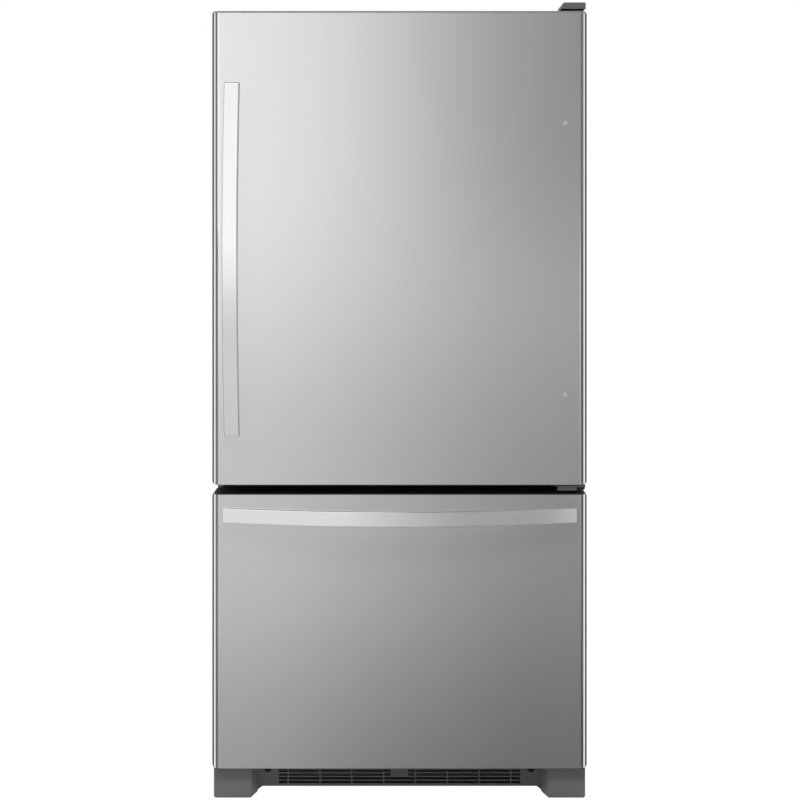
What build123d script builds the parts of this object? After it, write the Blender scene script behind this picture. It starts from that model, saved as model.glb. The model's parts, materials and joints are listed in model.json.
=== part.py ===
from build123d import *
import os
from math import sqrt

# Bottom freezer refrigerator: one hinged door above, one freezer drawer below.
# Millimetres. +Z is up, the fronts face -Y and +X is the hinge side.
# The origin is on the floor under the middle of the overall box.

# ---- Driving sizes -------------------------------------------------------------

# Overall layout
cabinet_width = 828.0
front_overhang = 3.5         # door and drawer beyond the cabinet, each side
cabinet_depth = 711.0
cabinet_top = 1750.0
wrapper_bottom = 26.0        # lower edge of the cabinet's steel sides
door_rise = 5.0              # door's top above the cabinet's
door_bottom = 705.0
front_gap = 20.6             # between door and drawer
drawer_bottom = 76.0
door_thickness = 65.0
gasket_gap = 14.0            # between the fronts and the cabinet
handle_reach = 60.0          # how far the handles stand proud

# Cabinet walls
sheet = 1.0
wrapper_corner = 6.0
wrapper_flange = 12.0
side_wall = 50.0
top_wall = 50.0
back_wall = 60.0
bottom_wall = 60.0
mullion_height = 60.0
mullion_depth = 3.0
liner_wall = 3.0
liner_corner = 25.0
flange_thickness = 2.5
pan_bottom = 36.0
pan_thickness = 2.0
machine_depth = 230.0
machine_height = 262.0
bulkhead_insulation = 50.0
pocket_room = 1.5            # air round what moves in a pocket of the insulation

# Fronts: skin, caps, liner and gasket
skin = 0.8
front_radius = 20.0          # rolled side edges
silhouette_radius = 9.0      # corners seen from the front
cap_lip = 1.0                # edge of a cap that shows beyond the skin
top_lip = 4.0                # the same along the top of the door
cap_height = 9.0
skin_flange = 12.0
inner_sheet = 2.5
panel_rise = 10.0            # raised panel inside the drawer front
panel_inset = 90.0
panel_lift = 30.0
panel_drop = 40.0
sheet_clearance = 0.3
gasket_width = 16.0
gasket_inset = 10.0
gasket_clearance = 0.3
gasket_corner = 14.0
gasket_inner_corner = 4.0

# Handles
handle_length = 778.6
handle_width = 33.5
handle_thickness = 12.0
handle_end_reach = 25.0      # outer face at the ends of the bow
handle_edge = 2.0
handle_inset = 49.0          # door's edge to the middle of the bar
door_handle_height = 1206.0
drawer_handle_drop = 40.4    # drawer's top edge to the middle of the bar
stud_spacing = 602.0
standoff_radius = 10.0
stud_radius = 4.0
stud_depth = 20.0            # behind the front's face
standoff_fit = 0.1
plug_radius = 5.6
plug_head = 1.2
plug_edge = 1.0
plug_stem = 4.5

# Hinges
hinge_inset_x = 14.0
hinge_inset_y = 24.0
pin_radius = 5.0
pin_length = 24.0
pin_end_room = 2.0
running_fit = 0.05
boss_radius = 10.0
boss_depth = 30.0
hinge_plate = 4.0
hinge_lift = 3.5             # air between the door's top and the top hinge
collar_clearance = 0.3       # under the collar that the door turns on
hub_depth = 6.0
hinge_foot_width = 50.0
hinge_foot_depth = 80.0
hinge_foot_setback = 16.0    # behind the cabinet's front
hinge_foot_overhang = 4.0    # outside the pin
hinge_arm_width = 32.0
hinge_arm_overhang = 6.0
hinge_nose = 12.0            # plate in front of the pin
hinge_lip_width = 43.0
hinge_lip_height = 10.0
centre_foot_width = 58.0
centre_foot_height = 22.0
bolt_margin = 14.0
bolt_radius = 3.0
bolt_head_radius = 6.0
bolt_head = 4.0
bolt_length = 16.0
cover_wall = 2.0
cover_rise = 31.0            # above the cabinet's top
cover_nose_rise = 16.5       # above the hinge arm's underside
cover_nose_lift = 2.0        # above the hinge arm's underside
cover_nose_slope = 5.0
cover_nose_width = 54.0
cover_nose_setback = 3.0     # behind the door's face
cover_side_inset = 4.5       # inside the door's edge
cover_body_width = 62.5
cover_body_depth = 108.0
cover_overlap = 4.0
cover_slope = 22.0
cover_edge = 5.0
cover_nose_edge = 3.5

# Shelves and drawers in the fresh-food space
shelf_heights = [860.0, 1095.0, 1290.0, 1475.0]
shelf_thickness = 14.0
shelf_rim = 18.0
shelf_depth = 490.0
glass_thickness = 4.0
glass_bearing = 6.0
shelf_side_gap = 3.0
ledge_width = 6.0
ledge_height = 6.0
slide_clearance = 0.5
pantry_runner = 6.0
pantry_runner_width = 12.0
pantry_runner_spread = 400.0
bin_setback = 114.0          # cabinet front to the inner drawers' fronts
bin_wall = 2.5
bin_corner = 12.0
bin_lip = 16.0
crisper_gap = 8.0
crisper_side_gap = 4.0
crisper_depth = 450.0
crisper_headroom = 17.0
pantry_depth = 420.0
pantry_headroom = 11.0
slider_width = 30.0
slider_height = 8.0
slider_reach = 5.0
slider_travel = 40.0
slider_tongue = 3.0
slider_fit = 0.3
slider_edge = 1.5
slot_margin = 3.0

# Door storage
post_width = 22.0
post_depth = 58.0
post_inset = 27.0            # room's side to the post
post_rise = 55.0             # door's bottom edge to the posts
post_drop = 80.0             # door's top edge to the posts
door_bin_depth = 110.0
door_bin_levels = [(768.0, 905.0), (1092.0, 1192.0), (1400.0, 1500.0)]

# Controls, light and air in the fresh-food space
control_width = 340.0
control_depth = 200.0
control_height = 55.0
control_setback = 146.0
control_wall = 2.5
control_edge = 8.0
knob_radius = 19.0
knob_depth = 13.0
knob_shaft = 4.0
knob_shaft_length = 11.0
knob_gap = 1.0
knob_grip = 6.0
knob_edge = 1.5
knob_spread = 160.0
knob_ridge = 5.0
lens_width = 120.0
lens_depth = 100.0
lens_thickness = 3.0
lens_flange = 4.0
lens_corner = 6.0
lens_fit = 0.2
plunger_radius = 4.0
plunger_length = 34.0
plunger_collar = 7.0
plunger_collar_depth = 4.0
plunger_edge = 1.5
plunger_inset = 39.0         # from the cabinet's side
plunger_drop = 35.0          # below the cabinet's top
tower_width = 140.0
tower_depth = 22.0
tower_bottom = 900.0
tower_top = 1640.0
tower_wall = 2.5
tower_edge = 8.0
tower_slot_rise = 80.0       # shelf to the middle of its slots
tower_slots = 4

# Freezer: slides and baskets
slide_length = 500.0
slide_height = 48.0
slide_rise = 2.0             # above the step in the freezer's floor
slide_setback = 6.0
rail_wall = 2.0
rail_reach = 8.0
rail_gap = 0.5
member_setback = 2.0
member_shortfall = 18.0
arm_length = 455.0
arm_thickness = 4.0
arm_foot = 44.0
arm_foot_rise = 20.0
basket_wall = 3.0
basket_rim = 4.0
basket_side_gap = 4.0
lower_basket_floor = 12.0    # air under the lower basket
lower_basket_gap = 15.0      # behind it, to the step in the floor
upper_basket_gap = 60.0      # above the lower basket
upper_basket_height = 120.0
upper_basket_depth = 520.0
basket_setback = 22.0
ledge_reach = 8.0
basket_slot = 14.0
basket_bar = 12.0
basket_blank_slots = 2       # left out of each wall, for its solid corners

# Cooling parts
fin_sheet = 1.2
tube_radius = 4.0
evaporator_size = (360.0, 42.0, 170.0)
evaporator_bottom = 372.0
evaporator_fins = 30
cover_standoff = 62.0        # evaporator cover to the liner's back
fan_hub = 14.0
fan_radius = 40.0
fan_depth = 14.0
fan_blades = 5
fan_shaft = 2.5
fan_clearance = 4.0
motor_radius = 22.0
motor_length = 24.0
condenser_size = (150.0, 150.0, 150.0)
condenser_fins = 20
condenser_inset = 293.0      # cabinet's side to the middle
shroud_gap = 25.0            # shroud to condenser
condenser_fan_radius = 62.0
compressor_inset = 193.0     # cabinet's side to the middle
compressor_size = (142.0, 124.0, 150.0)
compressor_dome = 25.0
compressor_plate = (186.0, 106.0)
compressor_plate_corner = 8.0
grommet_spacing = (160.0, 80.0)
grommet_radius = 9.0
grommet_height = 12.0
tray_margin = 10.0
condenser_lift = 8.0         # above the drain pan
condenser_strip = 12.0
condenser_rows = 4
condenser_columns = 3
evaporator_rows = 5
evaporator_columns = 2
evaporator_gap = 4.0
shroud_margin = 14.0
motor_setback = 28.0         # fan's far side to the motor
motor_arm = 10.0
fan_twist = 32.0
fan_blade = 1.6
fan_blade_chord = 1.6        # times the hub's depth
air_slots = 5
drain_pan_height = 14.0
drain_pan_wall = 1.5
machine_cover_recess = 6.0
vent_width = 70.0
vent_height = 5.0
vent_pitch = 11.0
vent_columns = 6
vent_rows = 14
inlet_inset = 83.0
inlet_height = 100.0
cord_radius = 4.2
inlet_flange = 14.0
inlet_flange_thickness = 3.0
inlet_neck = 8.0
inlet_neck_length = 8.0
inlet_edge = 1.0

# Base: grille, foot covers, legs and rollers
grille_setback = 40.0        # behind the door's face
grille_bottom = 19.0
foot_cover_width = 93.0
grille_wall = 3.0
grille_depth = 34.0
grille_end = 48.5            # solid end beyond the slots
grille_slot = 5.8
grille_pitch = 8.4
grille_rows = 5
grille_columns = 8
grille_divider = 2.6
grille_divider_pitch = 71.5
grille_tab_width = 39.0
grille_tab_height = 30.0
grille_tab_rise = 2.0
grille_ear = 13.0            # ends of the grille that reach down to the feet
grille_ear_drop = 10.0
grille_hole_inset = 25.0     # from the grille's end
grille_hole_drop = 14.0
grille_hole_radius = 8.3
base_headroom = 4.0          # between the drawer and what is under it
foot_cover_setback = 19.0
foot_cover_bottom = 3.0
foot_cover_wall = 3.0
foot_cover_flare = 12.0      # inner side, from the face back to the grille
foot_toe_radius = 4.0
foot_root_radius = 9.0
foot_corner = 5.0
bracket_width = 69.0
bracket_inset = 8.0
bracket_sheet = 3.0
bracket_margin = 4.0
bracket_overrun = 30.0
cheek_reach = 16.0
cheek_drop = 8.0
roller_radius = 15.0
roller_width = 22.0
roller_side_gap = 1.0
roller_edge = 2.0
axle_radius = 4.0
front_roller_lift = 1.5      # front rollers hang clear once the legs are down
front_roller_back = 71.0     # cabinet front to the axle
rear_roller_front = 40.0     # cabinet back to the axle
leg_back = 31.0
leg_inset = 25.0
leg_radius = 6.0
leg_foot_radius = 15.0
leg_foot_height = 6.0
leg_nut_radius = 10.5
leg_nut_height = 8.0
leg_length = 50.0
leg_travel = 12.0
leg_fit = 0.2
leg_edge = 2.0

# ---- Places worked out from them ---------------------------------------------------

overall_depth = handle_reach + door_thickness + gasket_gap + cabinet_depth
y_front = handle_reach - overall_depth / 2          # faces of door and drawer
y_front_back = y_front + door_thickness
y_cabinet = y_front_back + gasket_gap
y_back = y_cabinet + cabinet_depth
half_cabinet = cabinet_width / 2
half_front = half_cabinet + front_overhang
half_inside = half_cabinet - sheet

door_top = cabinet_top + door_rise
drawer_top = door_bottom - front_gap
mullion_middle = door_bottom - front_gap / 2
mullion_low = mullion_middle - mullion_height / 2
mullion_high = mullion_middle + mullion_height / 2
pan_top = pan_bottom + pan_thickness
half_liner = half_cabinet - side_wall
half_room = half_liner - liner_wall
fresh_low = mullion_high
fresh_high = cabinet_top - top_wall
freezer_low = pan_top + bottom_wall
freezer_high = mullion_low
liner_back = y_back - back_wall
room_back = liner_back - liner_wall
bulkhead = y_back - machine_depth
machine_top = pan_top + machine_height
step_front = bulkhead - bulkhead_insulation
step_top = machine_top + bulkhead_insulation
base_top = drawer_bottom - base_headroom

centre_plate = door_bottom - 2 * hinge_plate           # underside of the centre hinge's plate
collar_height = hinge_plate - collar_clearance
pin_hole = pin_length + pin_end_room
hinge_x = half_front - hinge_inset_x
hinge_y = y_front + hinge_inset_y
top_arm = door_top + hinge_lift                        # underside of the top hinge's arm
drawer_handle_height = drawer_top - drawer_handle_drop
cover_top = cabinet_top + cover_rise
cover_nose_top = top_arm + cover_nose_rise
door_handle_x = handle_inset - half_front
inner_front = y_cabinet + bin_setback
plunger_x = plunger_inset - half_cabinet
inlet_x = inlet_inset - half_inside
compressor_x = compressor_inset - half_inside
condenser_x = half_inside - condenser_inset
shroud_x = condenser_x - condenser_size[0] / 2 - shroud_gap
grille_half = half_cabinet - foot_cover_width
grille_slots_half = grille_half - grille_end
grille_hole_x = grille_half - grille_hole_inset

rail_low = step_top + liner_wall + slide_rise
rail_z = (rail_low, rail_low + slide_height)
slide_y = (y_cabinet + slide_setback, y_cabinet + slide_setback + slide_length)
outer_x = (half_room - rail_reach, half_room)
middle_x = (outer_x[0] - rail_gap - rail_wall, outer_x[1] - rail_wall - rail_gap)
middle_z = (rail_z[0] + rail_wall + rail_gap, rail_z[1] - rail_wall - rail_gap)
inner_x = (middle_x[0] - rail_wall, middle_x[1] - rail_wall - rail_gap)
inner_z = (middle_z[0] + rail_wall + rail_gap, middle_z[1] - rail_wall - rail_gap)
arm_x = (inner_x[0] - arm_thickness, inner_x[0])
basket_top = inner_z[1] + basket_rim
upper_basket_bottom = basket_top + upper_basket_gap


# ---- Small shared shapes -------------------------------------------------------------

def facing(y):
    """The upright plane at a depth; what is extruded from it grows towards the front."""
    return Plane.XZ.offset(-y)


def level(z):
    """The flat plane at a height."""
    return Plane.XY.offset(z)


def both_sides(half):
    return (-half, half)


def on_side(side, near, far):
    """A range of X on the left (-1) or the right (1), from the middle outwards."""
    return tuple(sorted((side * near, side * far)))


def block(x, y, z, mode=Mode.ADD):
    """A box between two values on each axis."""
    with Locations(((x[0] + x[1]) / 2, (y[0] + y[1]) / 2, (z[0] + z[1]) / 2)):
        Box(x[1] - x[0], y[1] - y[0], z[1] - z[0], mode=mode)


def span(a, b, mode=Mode.ADD):
    """A rectangle between two values on each axis of the sketch."""
    with Locations(((a[0] + a[1]) / 2, (b[0] + b[1]) / 2)):
        Rectangle(a[1] - a[0], b[1] - b[0], mode=mode)


def rounded_span(a, b, radius, mode=Mode.ADD):
    """The same with rounded corners."""
    with Locations(((a[0] + a[1]) / 2, (b[0] + b[1]) / 2)):
        RectangleRounded(a[1] - a[0], b[1] - b[0], radius, mode=mode)


def rod(plane, places, radius, length, mode=Mode.ADD):
    """Round bars that rise from points of a plane along its normal."""
    with Locations(plane):
        with Locations(places):
            Cylinder(radius, length, align=(Align.CENTER, Align.CENTER, Align.MIN), mode=mode)


def cabinet_outline(inset, low):
    """The cabinet's front outline, drawn in all round, down to a height."""
    half = half_cabinet - inset
    span(both_sides(half), (low, cabinet_top - inset))
    fillet(vertices().group_by(Axis.Y)[-1], wrapper_corner - inset)


def front_outline(inset, back):
    """Plan of a stainless front: square at the back, rolled edges at the face."""
    half = half_front - inset
    span(both_sides(half), (y_front + inset, back))
    fillet(vertices().group_by(Axis.Y)[0], front_radius - inset)


# ---- Cabinet -------------------------------------------------------------------------

hinge_foot_x = (hinge_x + hinge_foot_overhang - hinge_foot_width, hinge_x + hinge_foot_overhang)
hinge_foot_y = (y_cabinet + hinge_foot_setback, y_cabinet + hinge_foot_setback + hinge_foot_depth)
hinge_bolts = [(hinge_foot_x[0] + bolt_margin, hinge_foot_y[0] + bolt_margin),
               (hinge_foot_x[1] - bolt_margin, hinge_foot_y[0] + bolt_margin),
               ((hinge_foot_x[0] + hinge_foot_x[1]) / 2, hinge_foot_y[1] - bolt_margin)]
centre_foot_x = (hinge_x - centre_foot_width, hinge_x)
centre_foot_z = (centre_plate + hinge_plate - centre_foot_height, centre_plate + hinge_plate)
centre_bolt_z = (centre_foot_z[0] + centre_plate) / 2
centre_bolts = [(centre_foot_x[0] + bolt_margin, centre_bolt_z),
                (centre_foot_x[1] - bolt_margin, centre_bolt_z)]
leg_x = half_cabinet - leg_inset
leg_y = y_cabinet + leg_back
leg_places = [(-leg_x, leg_y), (leg_x, leg_y)]
leg_pocket = leg_radius + pocket_room
plunger_z = cabinet_top - plunger_drop
plunger_pocket = plunger_collar + pocket_room

# Steel wrapper: two sides and the top, with a narrow flange round the front
with BuildPart() as cabinet_wrapper:
    with BuildSketch(facing(y_back)):
        cabinet_outline(0, wrapper_bottom)
    extrude(amount=cabinet_depth)
    with BuildSketch(facing(y_back)):
        cabinet_outline(sheet, wrapper_bottom)
    extrude(amount=cabinet_depth - sheet, mode=Mode.SUBTRACT)
    block(both_sides(half_cabinet - wrapper_flange), (y_cabinet, y_back),
          (wrapper_bottom, cabinet_top - wrapper_flange), Mode.SUBTRACT)
    rod(level(cabinet_top - sheet), hinge_bolts, bolt_radius, sheet, Mode.SUBTRACT)

# Base pan with the stepped wall of the machine compartment
with BuildPart() as base_pan:
    block(both_sides(half_inside), (y_cabinet + sheet, y_back - machine_cover_recess - sheet),
          (pan_bottom, pan_top))
    block(both_sides(half_inside), (y_cabinet + sheet, y_cabinet + flange_thickness),
          (pan_bottom, drawer_bottom))
    block(both_sides(half_inside), (bulkhead, bulkhead + pan_thickness), (pan_top, machine_top))
    block(both_sides(half_inside), (bulkhead, y_back - sheet),
          (machine_top - pan_thickness, machine_top))
    rod(level(pan_bottom), leg_places, leg_pocket, pan_thickness, Mode.SUBTRACT)

# Back panel above the machine compartment
with BuildPart() as back_panel:
    with BuildSketch(facing(y_back)):
        cabinet_outline(sheet, machine_top)
    extrude(amount=sheet)


def room_outline(low, high, inset=0.0):
    """A liner's mouth, drawn in all round."""
    rounded_span(both_sides(half_liner - inset), (low + inset, high - inset), liner_corner - inset)


def liner_flange(low, high, flange_low, flange_high):
    """The flat rim round a liner's mouth."""
    with BuildSketch(facing(y_cabinet + flange_thickness)) as rim:
        span(both_sides(half_cabinet - wrapper_flange), (flange_low, flange_high))
        rounded_span(both_sides(half_room), (low + liner_wall, high - liner_wall),
                     liner_corner - liner_wall, Mode.SUBTRACT)
    return rim.sketch


def ledge(side, z, y, reach, height):
    """A rib along a liner's side wall that carries a shelf or a basket."""
    block(on_side(side, half_room - reach, half_room), y, (z - height, z))


shelf_back = inner_front + shelf_depth

with BuildPart() as fresh_food_liner:
    with BuildSketch(facing(liner_back)):
        room_outline(fresh_low, fresh_high)
    extrude(amount=liner_back - y_cabinet)
    with BuildSketch(facing(room_back)):
        room_outline(fresh_low, fresh_high, liner_wall)
    extrude(amount=room_back - y_cabinet, mode=Mode.SUBTRACT)
    extrude(liner_flange(fresh_low, fresh_high, mullion_high, cabinet_top - wrapper_flange),
            amount=flange_thickness)
    for z in shelf_heights:
        for side in (-1, 1):
            ledge(side, z, (inner_front, shelf_back), ledge_width, ledge_height)
    for side in (-1, 1):
        block(on_side(side, pantry_runner_spread / 2, pantry_runner_spread / 2 + pantry_runner_width),
              (inner_front, shelf_back), (fresh_low + liner_wall, fresh_low + liner_wall + pantry_runner))
    rod(facing(y_cabinet + flange_thickness), [(plunger_x, plunger_z)],
        plunger_radius + slider_fit, flange_thickness, Mode.SUBTRACT)

with BuildPart() as freezer_liner:
    with BuildSketch(facing(liner_back)):
        room_outline(freezer_low, freezer_high)
    extrude(amount=liner_back - y_cabinet)
    block(both_sides(half_liner), (step_front, liner_back), (freezer_low, step_top), Mode.SUBTRACT)
    with BuildSketch(facing(room_back)):
        room_outline(freezer_low, freezer_high, liner_wall)
    extrude(amount=room_back - y_cabinet, mode=Mode.SUBTRACT)
    block(both_sides(half_room), (step_front - liner_wall, room_back),
          (step_top, step_top + liner_wall))
    block(both_sides(half_room), (step_front - liner_wall, step_front),
          (freezer_low + liner_corner, step_top + liner_wall))
    with BuildSketch(facing(step_front)):
        room_outline(freezer_low, freezer_high)
        span(both_sides(half_liner), (step_top + liner_wall, freezer_high), Mode.SUBTRACT)
    extrude(amount=liner_wall)
    extrude(liner_flange(freezer_low, freezer_high, drawer_bottom, freezer_high),
            amount=flange_thickness)
    for side in (-1, 1):
        ledge(side, upper_basket_bottom, (y_cabinet + basket_setback, room_back - cover_standoff),
              ledge_reach, ledge_height)

# Insulation between the wrapper and the two liners, in slabs that meet at the liners' outsides
with BuildPart() as cabinet_foam:
    with BuildSketch(facing(y_back - sheet)):
        cabinet_outline(sheet, pan_top)
    extrude(amount=cabinet_depth - sheet - flange_thickness)
    for y, z in (((y_cabinet, liner_back), (fresh_low, fresh_high)),
                 ((y_cabinet, step_front), (freezer_low, freezer_high)),
                 ((step_front, liner_back), (step_top, freezer_high))):
        block(both_sides(half_liner), y, z, Mode.SUBTRACT)
    block(both_sides(half_cabinet), (bulkhead, y_back), (pan_top, machine_top), Mode.SUBTRACT)
    block(both_sides(half_cabinet), (y_cabinet, y_cabinet + mullion_depth),
          (mullion_low, mullion_high), Mode.SUBTRACT)
    rod(level(cabinet_top - bolt_length), hinge_bolts, bolt_radius, bolt_length, Mode.SUBTRACT)
    rod(facing(y_cabinet + bolt_length), centre_bolts, bolt_radius, bolt_length, Mode.SUBTRACT)
    rod(level(pan_top), leg_places, leg_pocket, leg_length + leg_travel + pocket_room - pan_top,
        Mode.SUBTRACT)
    rod(facing(y_cabinet + plunger_length + plunger_collar), [(plunger_x, plunger_z)],
        plunger_pocket, plunger_length + plunger_collar, Mode.SUBTRACT)
    for parting in (Plane.YZ.offset(-half_liner), Plane.YZ.offset(half_liner), facing(liner_back)):
        split(bisect_by=parting, keep=Keep.BOTH)

# Rail across the front between the two rooms
with BuildPart() as mullion_rail:
    block(both_sides(half_cabinet - wrapper_flange), (y_cabinet, y_cabinet + mullion_depth),
          (mullion_low, mullion_high))
    rod(facing(y_cabinet + mullion_depth), centre_bolts, bolt_radius, mullion_depth, Mode.SUBTRACT)


# ---- Machine compartment ----------------------------------------------------------------

def finned_coil(x, y, z, fins, rows, columns):
    """A block of thin fins on tubes that run along X."""
    pitch = (x[1] - x[0] - fin_sheet) / (fins - 1)
    first = x[0] + fin_sheet / 2
    for index in range(fins):
        middle = first + index * pitch
        block((middle - fin_sheet / 2, middle + fin_sheet / 2), y, z)
    places = [(y[0] + (y[1] - y[0]) * (column + 0.5) / columns,
               z[0] + (z[1] - z[0]) * (row + 0.5) / rows)
              for row in range(rows) for column in range(columns)]
    rod(Plane.YZ.offset(x[0] - tube_radius), places, tube_radius, x[1] - x[0] + 2 * tube_radius)


def fan_blades_on(radius, hub, depth, blades):
    """A bladed wheel about the current Z axis, with its bore, centred on the current place."""
    Cylinder(hub, depth)
    with PolarLocations((hub + radius) / 2, blades):
        Box(radius - hub / 2, depth * fan_blade_chord, fan_blade, rotation=(fan_twist, 0, 0))
    Cylinder(radius, depth * 2, mode=Mode.INTERSECT)
    Cylinder(fan_shaft + running_fit, depth * 2, mode=Mode.SUBTRACT)


machine_y = (bulkhead + pan_thickness, y_back - machine_cover_recess - sheet)
machine_middle = (machine_y[0] + machine_y[1]) / 2
half_motor_arm = motor_arm / 2

with BuildPart() as machine_cover:
    block(both_sides(half_inside), (machine_y[1], machine_y[1] + sheet),
          (pan_bottom, machine_top - pan_thickness))
    with BuildSketch(facing(y_back)):
        with Locations((0, (pan_top + machine_top) / 2)):
            with GridLocations(vent_width + 2 * vent_pitch, vent_pitch, vent_columns, vent_rows):
                Rectangle(vent_width, vent_height)
    extrude(amount=2 * machine_cover_recess, mode=Mode.SUBTRACT)
    rod(facing(y_back), [(inlet_x, inlet_height)], inlet_neck, 2 * machine_cover_recess,
        Mode.SUBTRACT)

# Bush that the power cord passes through
with BuildPart() as cord_inlet:
    outer = machine_y[1] + sheet
    rod(facing(outer + inlet_flange_thickness), [(inlet_x, inlet_height)], inlet_flange,
        inlet_flange_thickness)
    rod(facing(outer), [(inlet_x, inlet_height)], inlet_neck, inlet_neck_length)
    fillet(edges().filter_by(GeomType.CIRCLE).sort_by(Axis.Y)[-1], inlet_edge)
    rod(facing(outer + inlet_flange_thickness), [(inlet_x, inlet_height)], cord_radius,
        inlet_flange_thickness + inlet_neck_length, Mode.SUBTRACT)

with BuildPart() as compressor:
    plate_low = pan_top + grommet_height
    with BuildSketch(level(plate_low)):
        with Locations((compressor_x, machine_middle)):
            RectangleRounded(*compressor_plate, compressor_plate_corner)
    extrude(amount=bracket_sheet)
    with Locations((compressor_x, machine_middle, pan_top)):
        with GridLocations(*grommet_spacing, 2, 2):
            Cylinder(grommet_radius, grommet_height, align=(Align.CENTER, Align.CENTER, Align.MIN))
    with BuildSketch(level(plate_low)):
        with Locations((compressor_x, machine_middle)):
            Ellipse(compressor_size[0] / 2, compressor_size[1] / 2)
    extrude(amount=compressor_size[2])
    fillet(edges().group_by(Axis.Z)[-1], compressor_dome)

tray_x = (condenser_x - condenser_size[0] / 2 - tray_margin,
          condenser_x + condenser_size[0] / 2 + tray_margin)
tray_y = (machine_middle - condenser_size[1] / 2 - tray_margin,
          machine_middle + condenser_size[1] / 2 + tray_margin)
condenser_low = pan_top + drain_pan_height + condenser_lift
condenser_mid = condenser_low + condenser_size[2] / 2

with BuildPart() as drain_pan:
    block(tray_x, tray_y, (pan_top, pan_top + drain_pan_height))
    block((tray_x[0] + drain_pan_wall, tray_x[1] - drain_pan_wall),
          (tray_y[0] + drain_pan_wall, tray_y[1] - drain_pan_wall),
          (pan_top + drain_pan_wall, pan_top + drain_pan_height), Mode.SUBTRACT)

# Condenser on two feet that stand in the drain pan
with BuildPart() as condenser:
    finned_coil((tray_x[0] + tray_margin, tray_x[1] - tray_margin),
                (tray_y[0] + tray_margin, tray_y[1] - tray_margin),
                (condenser_low, condenser_low + condenser_size[2]), condenser_fins,
                condenser_rows, condenser_columns)
    for y in (tray_y[0] + condenser_strip, tray_y[1] - 2 * condenser_strip):
        block((tray_x[0] + condenser_strip, tray_x[1] - condenser_strip), (y, y + condenser_strip),
              (pan_top + drain_pan_wall, condenser_low + fin_sheet))

# Fan shroud with its motor, which stands on the base pan
with BuildPart() as condenser_fan_shroud:
    half_plate = condenser_fan_radius + shroud_margin
    motor_x = shroud_x - fan_depth - motor_setback
    block((shroud_x - bracket_sheet, shroud_x), (machine_middle - half_plate, machine_middle + half_plate),
          (pan_top, condenser_mid + half_plate))
    rod(Plane.YZ.offset(shroud_x - bracket_sheet), [(machine_middle, condenser_mid)],
        condenser_fan_radius + fan_clearance, bracket_sheet, Mode.SUBTRACT)
    rod(Plane.YZ.offset(motor_x - motor_length), [(machine_middle, condenser_mid)], motor_radius,
        motor_length)
    rod(Plane.YZ.offset(motor_x), [(machine_middle, condenser_mid)], fan_shaft,
        shroud_x - fan_depth / 2 - motor_x)
    arm_z = (condenser_mid - half_motor_arm, condenser_mid + half_motor_arm)
    block((motor_x - bracket_sheet, motor_x), (machine_middle - half_plate, machine_middle + half_plate),
          arm_z)
    for y in (machine_middle - half_plate, machine_middle + half_plate - bracket_sheet):
        block((motor_x - bracket_sheet, shroud_x), (y, y + bracket_sheet), arm_z)

with BuildPart() as condenser_fan:
    with Locations(Plane(origin=(shroud_x - fan_depth, machine_middle, condenser_mid), z_dir=(1, 0, 0))):
        fan_blades_on(condenser_fan_radius, fan_hub, fan_depth, fan_blades)


# ---- Cooling in the freezer ------------------------------------------------------------

cover_y = room_back - cover_standoff
evaporator_fan_z = evaporator_bottom + evaporator_size[2] + fan_radius + shroud_margin

with BuildPart() as evaporator:
    finned_coil(both_sides(evaporator_size[0] / 2),
                (room_back - evaporator_size[1] - evaporator_gap, room_back - evaporator_gap),
                (evaporator_bottom, evaporator_bottom + evaporator_size[2]),
                evaporator_fins, evaporator_rows, evaporator_columns)
    for side in (-1, 1):
        block(on_side(side, evaporator_size[0] / 2 - fin_sheet, evaporator_size[0] / 2),
              (room_back - evaporator_size[1], room_back),
              (step_top + liner_wall, evaporator_bottom + evaporator_size[2]))

# Cover that hides the evaporator and carries its fan motor
with BuildPart() as evaporator_cover:
    cover_half = half_room - liner_corner
    block(both_sides(cover_half), (cover_y - liner_wall, cover_y),
          (step_top + liner_wall, freezer_high - liner_wall))
    rod(facing(cover_y), [(0, evaporator_fan_z)], fan_radius + fan_clearance, liner_wall,
        Mode.SUBTRACT)
    with BuildSketch(facing(cover_y)):
        for side in (-1, 1):
            with Locations((side * cover_half / 2, evaporator_fan_z)):
                with GridLocations(0, vent_pitch, 1, air_slots):
                    SlotOverall(2 * vent_width, vent_height)
    extrude(amount=liner_wall, mode=Mode.SUBTRACT)
    for side in (-1, 1):
        block(on_side(side, cover_half - liner_wall, cover_half), (cover_y, room_back),
              (step_top + liner_wall, freezer_high - liner_corner))
    motor_y = cover_y + fan_depth + motor_setback / 2
    rod(facing(motor_y + motor_length), [(0, evaporator_fan_z)], motor_radius, motor_length)
    rod(facing(motor_y), [(0, evaporator_fan_z)], fan_shaft, motor_y - cover_y - fan_depth / 2)
    arm_z = (evaporator_fan_z - half_motor_arm, evaporator_fan_z + half_motor_arm)
    arm_end = fan_radius + shroud_margin
    block(both_sides(arm_end), (motor_y, motor_y + liner_wall), arm_z)
    for side in (-1, 1):
        block(on_side(side, arm_end - liner_wall, arm_end), (cover_y, motor_y + liner_wall), arm_z)

with BuildPart() as evaporator_fan:
    with Locations(Plane(origin=(0, cover_y + fan_depth, evaporator_fan_z), z_dir=(0, 1, 0))):
        fan_blades_on(fan_radius, fan_hub, fan_depth, fan_blades)


# ---- Fresh-food fittings ----------------------------------------------------------------

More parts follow.
